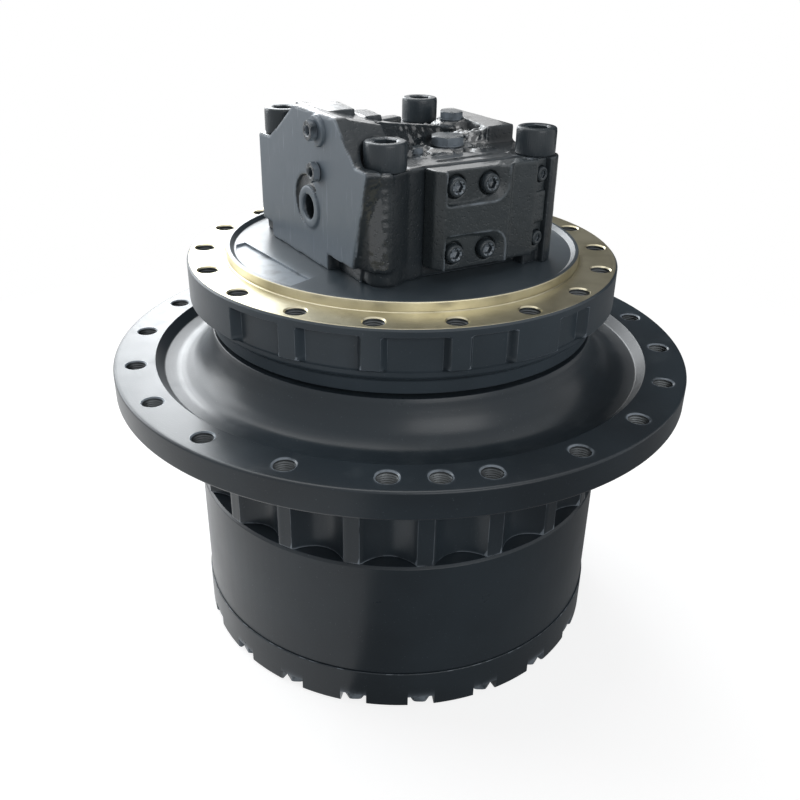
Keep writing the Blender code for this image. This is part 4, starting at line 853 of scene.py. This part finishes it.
def endOutline():
    # the block's plan, anticlockwise from the front of the left face, with the columns' flanks as arcs
    first, second, third, fourth = blockColumns
    inner = padPoint(12.5, -20)
    return np.vstack([[(-88, -84)], arcOf(first, 200, 255), [(-49.5, -94), (-35, -92), (-33.3, -90.2)],
                      [(inner[0] - 2, -90.2), inner, padPoint(12.5, -2.6)], arcOf(second, -82, 18),
                      [(92, -68), (92, -30), (88, 60)], arcOf(third, 10, 90), [(46, 97), (-60, 99)],
                      arcOf(fourth, 80, 150), [(-90, 78)]])


def plateLine(s):
    # the left face in (v, z): its front edge leans back, and the wing stands on it
    base, seat, top = s["base"], s["seat"], s["wingTop"]
    return roundedLine([(-104, seat + 2.6, 1), (-86.5, seat + 4, 2), (-53.4, top, 3), (17.4, top, 1),
                        (69, seat + 1, 3), (93, seat + 0.6, 1), (93, base - 1, 0), (-79, base - 1, 0)],
                       closed=True)


def leaning(x, y):
    # x measured along the left face's own lean; the face itself is at -96.5
    return x + faceSlope * y


def endCoverField(s, x, y, z):
    base, seat, top = s["base"], s["seat"], s["wingTop"]
    lean = leaning(x, y)
    body = slab(polygonField(x, y, endOutline()), z, base, seat + 0.6, 1.2)
    # the first column stops short of the disc: a rounded lower edge over a smaller foot
    u, v, radius = blockColumns[0]
    under = np.maximum(np.maximum(z - base - 12.7, 17.0 - np.hypot(x - u, y - v)), np.maximum(x + 56, y + 70))
    body = scoop(body, under, 3.0)
    body = melt(body, slab(polygonField(y, z, plateLine(s)), lean, -96.5, -85, 0.4), width=1.6)
    # the face's front corner runs out into the column's flank, further down the less
    corner = [(-92, -103), (-70, -104.5), (-66, -85), (-92, -85)]
    spread = (polygonField(x, y, corner) + 2 + np.maximum(seat - z, 0) * 0.4) * 0.93
    body = melt(body, np.maximum(spread, np.maximum(z - seat - 0.6, seat - 50 - z)), width=7.0)
    wing = roundedLine([(-88, seat - 20, 0), (-88, seat + 1, 3), (-53.4, top, 3), (17.4, top, 1),
                        (69, seat + 1, 3), (69, seat - 20, 0)], closed=True)
    # the wing's back, the tier and the rib share one top plane that falls towards the relief valve
    fall = z + 0.19 * (x + 46)
    behind = slab(polygonField(y, z, wing), x, -94, -54, 2.0)
    body = melt(body, np.maximum(behind, fall - 498.4), width=1.2)
    tier = roundedLine([(-84, -50, 1), (-50, -46, 3), (-40, -34, 4), (-38, 24, 8), (-60, 44, 8), (-84, 44, 1)],
                       closed=True)
    body = melt(body, slab(polygonField(x, y, tier), fall, seat - 14, 498.4, 0.8), width=2.0)
    rib = roundedLine([(52, 3, 3), (48, 13, 3), (-46, -30, 1), (-50, -44, 1)], closed=True)
    body = melt(body, slab(polygonField(x, y, rib), fall, seat - 14, 498.4, 0.7), width=1.6)
    for outline, high in (([(-83, -19), (-57, -17), (-53, 22), (-83, 24)], top - 0.7),
                          ([(-55, -30), (-37, -27), (-35, 4), (-55, 6)], 501.6),
                          ([(-35, -19), (-8, -9), (-10, 2), (-35, -2)], 495.6)):
        body = melt(body, slab(polygonField(x, y, outline), z, seat, high, 0.7), width=1.0)
    # rough ground that climbs to the rib, lowest near the small plug
    ahead = (x + 50) * 0.418 - (y + 44) * 0.908
    heap = roundedLine([(-50, -44, 1), (-44, -60, 2), (-24, -54, 6), (-6, -30, 6), (30, -14, 4), (38, 2, 2)],
                       closed=True)
    climb = (fall + 0.75 * ahead - 494.5) * 0.8
    body = melt(body, np.maximum(np.maximum(polygonField(x, y, heap), climb), seat - 8 - z), width=3.0)
    ridge = roundedLine([(58, -40, 2), (90, -38, 2), (87, 58, 3), (72, 58, 3), (62, -22, 3)], closed=True)
    body = melt(body, slab(polygonField(x, y, ridge), z, seat - 8, seat + 15, 0.9), width=3.0)
    u, v = s["largePlug"]
    away = np.hypot(x - u, y - v)
    body = melt(body, slab(away - 21.5, z, seat - 8, seat + 3.4, 0.9), width=2.0)
    body = scoop(body, slab(away - 18.6, z, seat + 2.2, seat + 30, 0.5), 0.8)
    u, v = s["relief"]
    cone = (np.hypot(x - u, y - v) - (24 - (z - seat) * 0.8)) * 0.78
    body = melt(body, np.maximum(np.maximum(cone, z - seat - 12.5), seat - 8 - z), width=6.0)
    for u, v, radius, high in ((49, -24, 8, 10), (56, -30, 6, 12), (44, -14, 6, 8), (38, -60, 5, 2)):
        body = melt(body, slab(np.hypot(x - u, y - v) - radius, z, seat - 8, seat + high, 3.0), width=4.0)
    small = slab(np.hypot(x + 97.5, y - 64) - 5.6, z, base, base + 12.5, 1.2)
    return melt(body, small, width=1.5)


def endCoverCuts(s, body, x, y, z):
    base, seat = s["base"], s["seat"]
    for u, v, radius in blockColumns:
        body = scoop(body, slab(np.hypot(x - u, y - v) - 19, z, seat, seat + 60), 0.6)
        body = scoop(body, slab(np.hypot(x - u, y - v) - 10.3, z, base - 20, seat + 60), 0.6)
    for (u, v), radius, depth in ((s["largePlug"], 12.3, 20), (s["smallPlug"], 5.3, 14), (s["relief"], 8.3, 36)):
        body = scoop(body, slab(np.hypot(x - u, y - v) - radius, z, seat - depth, seat + 40), 0.6)
    v, height = s["port"]
    lean = leaning(x, y)
    fromPort = np.hypot(y - v, z - height)
    # the crescent: a counterbore set off to one side of the port ring
    body = scoop(body, slab(np.hypot(y - v - 5.5, z - height - 4.5) - 21.0, lean, -110, -93.8), 0.4)
    body = np.minimum(body, slab(fromPort - 18, lean, -98.2, -80, 0.5))
    body = scoop(body, slab(fromPort - 10.5, lean, -120, -64.5), 0.8)
    body = scoop(body, slab(np.hypot(y + 50, z - base - 50) - 11.3, x, -58, 110), 0.6)
    for v, height in leftPlugs.values():
        body = scoop(body, slab(np.hypot(y - v, z - height) - 5.3, x, -120, -80.5), 0.5)
    notch = np.maximum(np.maximum(y + 40, -106 - y), np.maximum(np.abs(x + 97) - 12, z - base - 13))
    body = scoop(body, notch, 0.8)
    shelf = np.maximum(np.maximum(60.5 - y, x + 92.5), z - base - 12)
    body = scoop(body, np.maximum(shelf, 8.5 - np.hypot(x + 97.5, y - 64)), 1.0)
    slit = np.maximum(np.abs(x - 22) - 35, np.maximum(np.abs(y + 79 - (x + 12) * 0.08) - 0.8, seat - 1.6 - z))
    return scoop(body, slit, 0.4)


def makeEndCover(s):
    x, y, z = fieldPlaces(s)
    base, seat = s["base"], s["seat"]
    body = endCoverField(s, x, y, z)
    # the casting's skin: small lumps all over, and heavy ones on the low parts of the top
    heavy = step(seat - 1, seat + 1, z) * (1 - step(seat + 14, seat + 23, z)) * roughGround(x, y)
    flank = roughFlank(x, y) * (1 - step(seat - 4, seat - 1, z))
    body = body + lumps(x, y, z, 9.0, 4) * 0.1 + lumps(x, y, z, 3.4, 9) * (0.05 + 1.7 * heavy + 0.42 * flank)
    # what is machined: the left face with the upper plug's boss, the foot with its spigot, and the bores
    lean = leaning(x, y)
    body = np.maximum(body, -96.5 - lean)
    body = np.minimum(body, slab(np.hypot(y + 27, z - 493.5) - 12.5, lean, -99.3, -88, 0.5))
    body = np.maximum(body, base - z)
    body = np.minimum(body, slab(np.hypot(x, y) - 77.7, z, base - 6, base + 1, 0.3))
    body = endCoverCuts(s, body, x, y, z)
    body = scoop(body, slab(np.hypot(x, y) - 32, z, base - 20, base + 20), 0.5)
    points, faces = skinOf(s, body)
    lean = leaning(points[:, 0], points[:, 1])
    flat = (lean < -96.2) | (np.abs(points[:, 2] - base) < 0.3)
    points = np.where(flat[:, None], points, relax(points, faces))
    piece = meshPiece("endCover", turnBlock(points), faces, 40)
    u, v, height = (cornersOf(piece) @ blockTurnRows.T).T
    lean = leaning(u, v)
    setMask(piece, "machined", lean < -96.0)
    # a painted highlight: thin bright lines along the left face's bevelled border, on the edge mask with the wear
    highlightBorder = np.exp(-(polygonField(v, height, plateLine(s)) / 0.8) ** 2) * (lean < -95.0)
    setMask(piece, "edge", np.maximum(convexMask(piece, 0.12, 0.4), highlightBorder))
    ground = roughGround(u, v) * step(seat - 1, seat + 1, height) * (height < seat + 22)
    setMask(piece, "wet", np.maximum(ground * 0.9, roughFlank(u, v) * 0.4))
    dress(piece, [cast], "case", "blue_grey_paint", "end_cover")
    print("end cover made", len(faces))


def roughFlank(u, v):
    # 1 on the first column's flank between the machined face and the crease of its front
    across, along = u - blockColumns[0][0], v - blockColumns[0][1]
    azimuth, away = np.degrees(np.arctan2(along, across)), np.hypot(across, along)
    side = step(-162, -150, azimuth) * (1 - step(-118, -104, azimuth))
    return side * (1 - step(26, 32, away)) * step(18.5, 19.5, away)


def roughGround(u, v):
    # 1 on the low ground between the rib, the plugs and the ridge, where the paint lies thick and lumpy
    inside = (1 - step(50, 60, np.abs(u - 6))) * step(-64, -56, v) * (1 - step(60, 70, v))
    plug = step(19.5, 22.5, np.hypot(u - 22, v + 35))
    ledge = 1 - step(1.0, 3.0, 7.0 - np.abs(v + 16.5 - (u + 1) * 0.45))
    return inside * plug * ledge


def convexMask(piece, low, high):
    # how far each vertex stands out from the mean of its neighbours along its normal, from 0 at low to 1 at high
    corners = cornersOf(piece)
    ends = np.empty(len(piece.data.edges) * 2, np.int32)
    piece.data.edges.foreach_get("vertices", ends)
    ends = ends.reshape(-1, 2)
    both = np.concatenate([ends, ends[:, ::-1]])
    near = np.bincount(both[:, 0], minlength=len(corners))
    mean = np.stack([np.bincount(both[:, 0], corners[both[:, 1], k], len(corners)) for k in range(3)], -1)
    normals = np.empty(len(corners) * 3, np.float32)
    piece.data.vertices.foreach_get("normal", normals)
    out = ((corners - mean / near[:, None]) * normals.reshape(-1, 3)).sum(1)
    return np.clip((out - low) / (high - low), 0, 1)


makeEndCover(endSizes)


# Valve cover on the right front: a raised frame with two sunk pads and a slanted pad on its right

valveSizes = {"cell": 0.95, "low": (-37, -116, 386), "high": (87, -86, 475), "bottom": 390.5, "top": 471.0,
              "front": -111.0, "sunk": 3.5, "fields": (-24, 35.5), "screws": (-14.7, 17.1),
              "heights": (458.2, 403.9), "padScrew": -9.0, "windows": ((443.0, 500.0), (360.0, 419.0))}


def windowLine(s, low, high):
    left, right = s["fields"]
    return roundedLine([(left, low, 3), (right, low, 14), (right, high, 14), (left, high, 3)], closed=True)


def sunkDepth(s, across, height):
    # depth of the two sunk fields: steep walls at the left and at the band, a long slope at the right end
    left, right = s["fields"]
    width = 1.6 + 8.5 * step(left + 22, right, across)
    return sum(s["sunk"] * np.clip(-polygonField(across, height, windowLine(s, *window)) / width, 0, 1)
               for window in s["windows"])


def makeValveCover(s):
    x, y, z = fieldPlaces(s)
    front = s["front"]
    foot = padPoint(12.8, -20.6)
    plan = roundedLine([(-33.5, -90.5, 0), (-31.6, -103, 9), (-25.5, front, 1.5), (37, front, 2.5), (41, -107, 2),
                        (*padPoint(17.5, -18.8), 1.5), (*padPoint(17.5, -2.9), 1), (*padPoint(12.8, -2.9), 0),
                        (*foot, 0), (foot[0] - 2, -90.5, 0)], closed=True)
    body = slab(polygonField(x, y, plan), z, s["bottom"], s["top"], 1.5)
    body = body + lumps(x, y, z, 7.0, 12) * 0.1 + lumps(x, y, z, 2.6, 5) * 0.05
    beyond = step(40, 44, x)
    body = np.maximum(body, (front + sunkDepth(s, x, z) - y) * (1 - beyond) - 5 * beyond)
    azimuth = math.radians(sidePad["azimuth"])
    u, v = sidePad["centre"]
    across = -(x - u) * math.sin(azimuth) + (y - v) * math.cos(azimuth)
    outward = (x - u) * math.cos(azimuth) + (y - v) * math.sin(azimuth)
    for height in (s["heights"][0] + 4, s["heights"][1] - 4):
        sunk = np.maximum(np.abs(across + 8) - 7.2, np.abs(z - height) - 18)
        body = scoop(body, slab(sunk, outward, 15.2, 30, 0.8), 1.2)
    for height in s["heights"]:
        body = scoop(body, slab(np.hypot(across - s["padScrew"], z - height) - 6.9, outward, 12.8, 30, 0.3), 0.5)
        for place in s["screws"]:
            body = scoop(body, slab(np.hypot(x - place, z - height) - 9.6, y, front - 8, front + 7.2, 0.4), 0.6)
    points, faces = skinOf(s, body)
    points = relax(points, faces)
    piece = meshPiece("valveCover", turnBlock(points), faces, 45)
    u, v, height = (cornersOf(piece) @ blockTurnRows.T).T
    # a painted highlight: thin bright lines along the sunk windows' lips, on the edge mask with the wear
    lips = np.maximum(*[np.exp(-(polygonField(u, height, windowLine(s, *window)) / 0.75) ** 2)
                        for window in s["windows"]])
    lips = lips * (v < front + 1.6) * (height < s["top"] - 1)
    setMask(piece, "edge", np.maximum(convexMask(piece, 0.07, 0.26), lips))
    setMask(piece, "wet", np.zeros(len(u)))
    dress(piece, [valvePaint], "case", "blue_grey_paint", "valve_cover")
    # socket screws of the fields: head, rim and hexagon socket
    turn = fullTurn(96)
    head = dict(head=8.0, top=7.4, seat=0.0, shank=5.0, end=-2.0, socket=4.5, depth=5.0, knurl=0.06, teeth=36)
    grid, faces = turnedGrid(socketScrewRows(head, turn), turn)
    direction = (math.cos(azimuth), math.sin(azimuth), 0)
    spots = [(place, front + 6.0, height) for height in s["heights"] for place in s["screws"]]
    sets = [placed(grid, spot, (0, -1, 0)) for spot in spots]
    small = grid * (0.77, 0.77, 0.5)
    sets += [placed(small, (*padPoint(14.2, s["padScrew"]), height), direction) for height in s["heights"]]
    fastener("valveCoverScrews", *gathered(sets, faces))
    print("valve cover made", len(piece.data.polygons))


def fastener(name, points, faces, *nodes, sharp=33.0, wearAndHighlight=30.0):
    # a screw or plug of the end cover, from points in the block's own axes
    piece = meshPiece(name, turnBlock(points), faces, sharp)
    markEdges(piece, wearAndHighlight)
    dress(piece, [litScrewPaint], "case", "blue_grey_paint", *nodes)


makeValveCover(valveSizes)


# Screws and plugs of the end cover

capSizes = {"head": 17.0, "top": 493.8, "seat": 471.8, "shank": 10.0, "end": 352.5, "socket": 9.8, "depth": 12.0,
            "knurl": 0.1, "teeth": 60}
# name, place in plan, corner radius, foot and top of the hexagon, radius and end of the shank, washer's height
topPlugs = {
    "large_hex_plug": ("largePlug", endSizes["largePlug"], 15.5, 474.5, 482.0, 12.0, 456.5, 1.2),
    "small_hex_plug": ("smallPlug", endSizes["smallPlug"], 8.5, 472.4, 477.0, 5.0, 462.4, 0.6),
    "relief_valve": ("reliefValve", endSizes["relief"], 11.5, 484.3, 491.0, 8.0, 460.3, 0.9),
}


def makeCapScrews(s):
    turn = fullTurn(480)
    grid, faces = turnedGrid(socketScrewRows(s, turn), turn)
    for i, (u, v, radius) in enumerate(blockColumns):
        fastener(f"capScrew{i + 1}", grid + (u, v, 0), faces, f"end_cover_screw_{i + 1}", sharp=28, wearAndHighlight=40)


def makePlugs():
    turn = fullTurn(96)
    for node, (name, spot, corner, low, high, shank, end, washer) in topPlugs.items():
        grid, faces = turnedGrid(hexagonRows(corner, low, high, turn, shank, end, washer), turn)
        fastener(name, grid + (*spot, 0), faces, node)
    # the left face's plugs have a blind socket in the hexagon's end, and the upper one stands on a boss
    six = 4.3 * hexagonScale(turn)
    rows = hexagonRows(8.5, 0, 5.4, turn, 5.0, -13.0, 0.9)[:-1] + [(4.9, 5.4), (six, 4.8), (six, 1.6), (0, 1.0)]
    grid, faces = turnedGrid(rows, turn)
    for side, proud in (("upper", 2.9), ("lower", 0.6)):
        v, height = leftPlugs[side]
        spot = (-96.5 - faceSlope * v - proud, v, height)
        fastener(side + "LeftPlug", placed(grid, spot, (-1, 0, 0)), faces, side + "_left_plug")
    grid, faces = turnedGrid(hexagonRows(16, 92.3, 100.3, turn, 11.0, 67.0, 1.0), turn)
    fastener("spoolCap", placed(grid, (0, -50, 430.8), (1, 0, 0)), faces, "spool_cap")
    print("screws and plugs made")


makeCapScrews(capSizes)
makePlugs()


# Inner pieces keep their solids and get their finishes

innerFinishes = {
    "machined_steel": steel, "hardened_steel": hardSteel, "cast_iron": iron, "bronze": bronze,
    "friction_lining": lining, "seal_rubber": rubber, "blue_grey_paint": paint, "painted_steel": litScrewPaint,
}
slotOf = {node: entry["slot"] for entry in frame["record"]["materials"] for node in entry.get("nodes", [])}
for node, item in frame["nodes"].items():
    item.data.materials.clear()
    item.data.materials.append(innerFinishes.get(slotOf.get(node), steel))
print("inner pieces finished")


# Studio: white floor and surroundings, a window to the back left, soft fill, and the camera

studio = {"window": 56.0, "pane": 6.0, "left": 19.0, "top": 13.0, "front": 13.0, "air": 0.16, "floorGlow": 0.8,
          "backFlag": 0.03, "floorFlag": 0.2}


def makeWorld(s):
    # dim air for the object's light, and plain white where the camera or a mirror looks
    world = bpy.data.worlds.new("studioAir")
    bpy.context.scene.world = world
    world.use_nodes = True
    nodes = Nodes(world.node_tree)
    air = nodes.add("ShaderNodeBackground", {}, {"Color": (0.93, 0.96, 1.0, 1.0), "Strength": s["air"]})
    white = nodes.add("ShaderNodeBackground", {}, {"Color": (1, 1, 1, 1), "Strength": 1.0})
    nodes.send(nodes.mixed(nodes.seenRay(), air, white), "World Output")


def studioQuad(name, corners):
    # a flat quad of the studio with a finish of its own
    piece = meshPiece(name, corners, [[0, 1, 2, 3]])
    finish = Finish(name + "Finish")
    piece.data.materials.append(finish.material)
    return piece, finish


def makeFloor(s):
    size = 6000.0
    corners = [(-size, -size, 0), (size, -size, 0), (size, size, 0), (-size, size, 0)]
    floor, finish = studioQuad("floor", corners)
    finish.set(Base_Color=(0.4, 0.4, 0.4, 1), Roughness=0.9)
    seen = finish.seenRay()
    glow = finish.mixed(seen, finish.glow(0.0), finish.glow(s["floorGlow"]))
    shaded = Signal(finish, finish.shader.outputs[0])
    both = finish.add("ShaderNodeAddShader", {}, {0: shaded, 1: glow})
    # away from the object the floor runs out into plain white
    length = finish.add("ShaderNodeVectorMath", {"operation": "LENGTH"}, {0: finish.place}, "Value")
    fade = finish.add("ShaderNodeMapRange", {}, {"Value": length, "From Min": 0.35, "From Max": 1.1})
    finish.send(finish.mixed(fade * seen, both, finish.glow(1.0)))


def makeFlag(name, corners, tone):
    # a dark card that only gloss sees, as a photographer sets beside a shiny object
    flag, finish = studioQuad(name, corners)
    finish.send(finish.glow(tone))
    for ray in ("camera", "diffuse", "transmission", "volume_scatter", "shadow"):
        setattr(flag, "visible_" + ray, False)


def makeLamp(name, place, target, size, energy, tint=(1, 1, 1)):
    lamp = bpy.data.lights.new(name, "AREA")
    lamp.shape = "RECTANGLE"
    lamp.size, lamp.size_y = size
    lamp.energy = energy
    lamp.color = tint
    item = bpy.data.objects.new(name, lamp)
    bpy.context.scene.collection.objects.link(item)
    item.location = place
    item.rotation_euler = (Vector(place) - Vector(target)).to_track_quat("Z", "Y").to_euler()
    item.visible_camera = False


def makeCamera():
    # fitted to the photo's rings of holes and flange rims
    pitch, yaw, roll = math.radians(27.58), math.radians(0.034), math.radians(1.128)
    forward = np.array((math.sin(yaw) * math.cos(pitch), math.cos(yaw) * math.cos(pitch), -math.sin(pitch)))
    right = np.array((math.cos(yaw), -math.sin(yaw), 0.0))
    up = np.cross(right, forward)
    side = math.cos(roll) * right + math.sin(roll) * up
    top = -math.sin(roll) * right + math.cos(roll) * up
    data = bpy.data.cameras.new("camera")
    data.sensor_width = 36.0
    data.lens = 887.69 / 800 * data.sensor_width
    camera = bpy.data.objects.new("camera", data)
    bpy.context.scene.collection.objects.link(camera)
    turn = np.eye(4)
    turn[:3] = np.column_stack([side, top, -forward, (0, -0.7970, 0.6318)])
    camera.matrix_world = Matrix(turn.tolist())
    bpy.context.scene.camera = camera


makeWorld(studio)
makeFloor(studio)
makeFlag("backFlag", [(300, 2000, 60), (2400, 900, 60), (2400, 900, 2600), (300, 2000, 2600)],
         studio["backFlag"])
makeFlag("floorFlag", [(-250, -1600, 1), (1800, -1600, 1), (1800, 1500, 1), (200, 1500, 1)],
         studio["floorFlag"])
makeLamp("window", (-1.35, 2.2, 1.5), (0, 0, 0.3), (2.7, 2.0), studio["window"], (0.93, 0.97, 1.0))
makeLamp("pane", (-0.8, 2.2, 1.3), (0, 0, 0.3), (0.45, 0.5), studio["pane"], (0.95, 0.98, 1.0))
makeLamp("leftWindow", (-2.1, 0.75, 1.0), (0, 0, 0.25), (1.0, 1.3), studio["left"], (0.95, 0.98, 1.0))
makeLamp("ceiling", (-0.3, 0.3, 2.0), (0, 0, 0.3), (1.6, 1.6), studio["top"], (1.0, 0.99, 0.97))
makeLamp("front", (0.9, -1.8, 1.1), (0, 0, 0.25), (1.5, 1.0), studio["front"])
makeCamera()
bpy.context.scene.view_settings.view_transform = "Standard"
print("studio made")
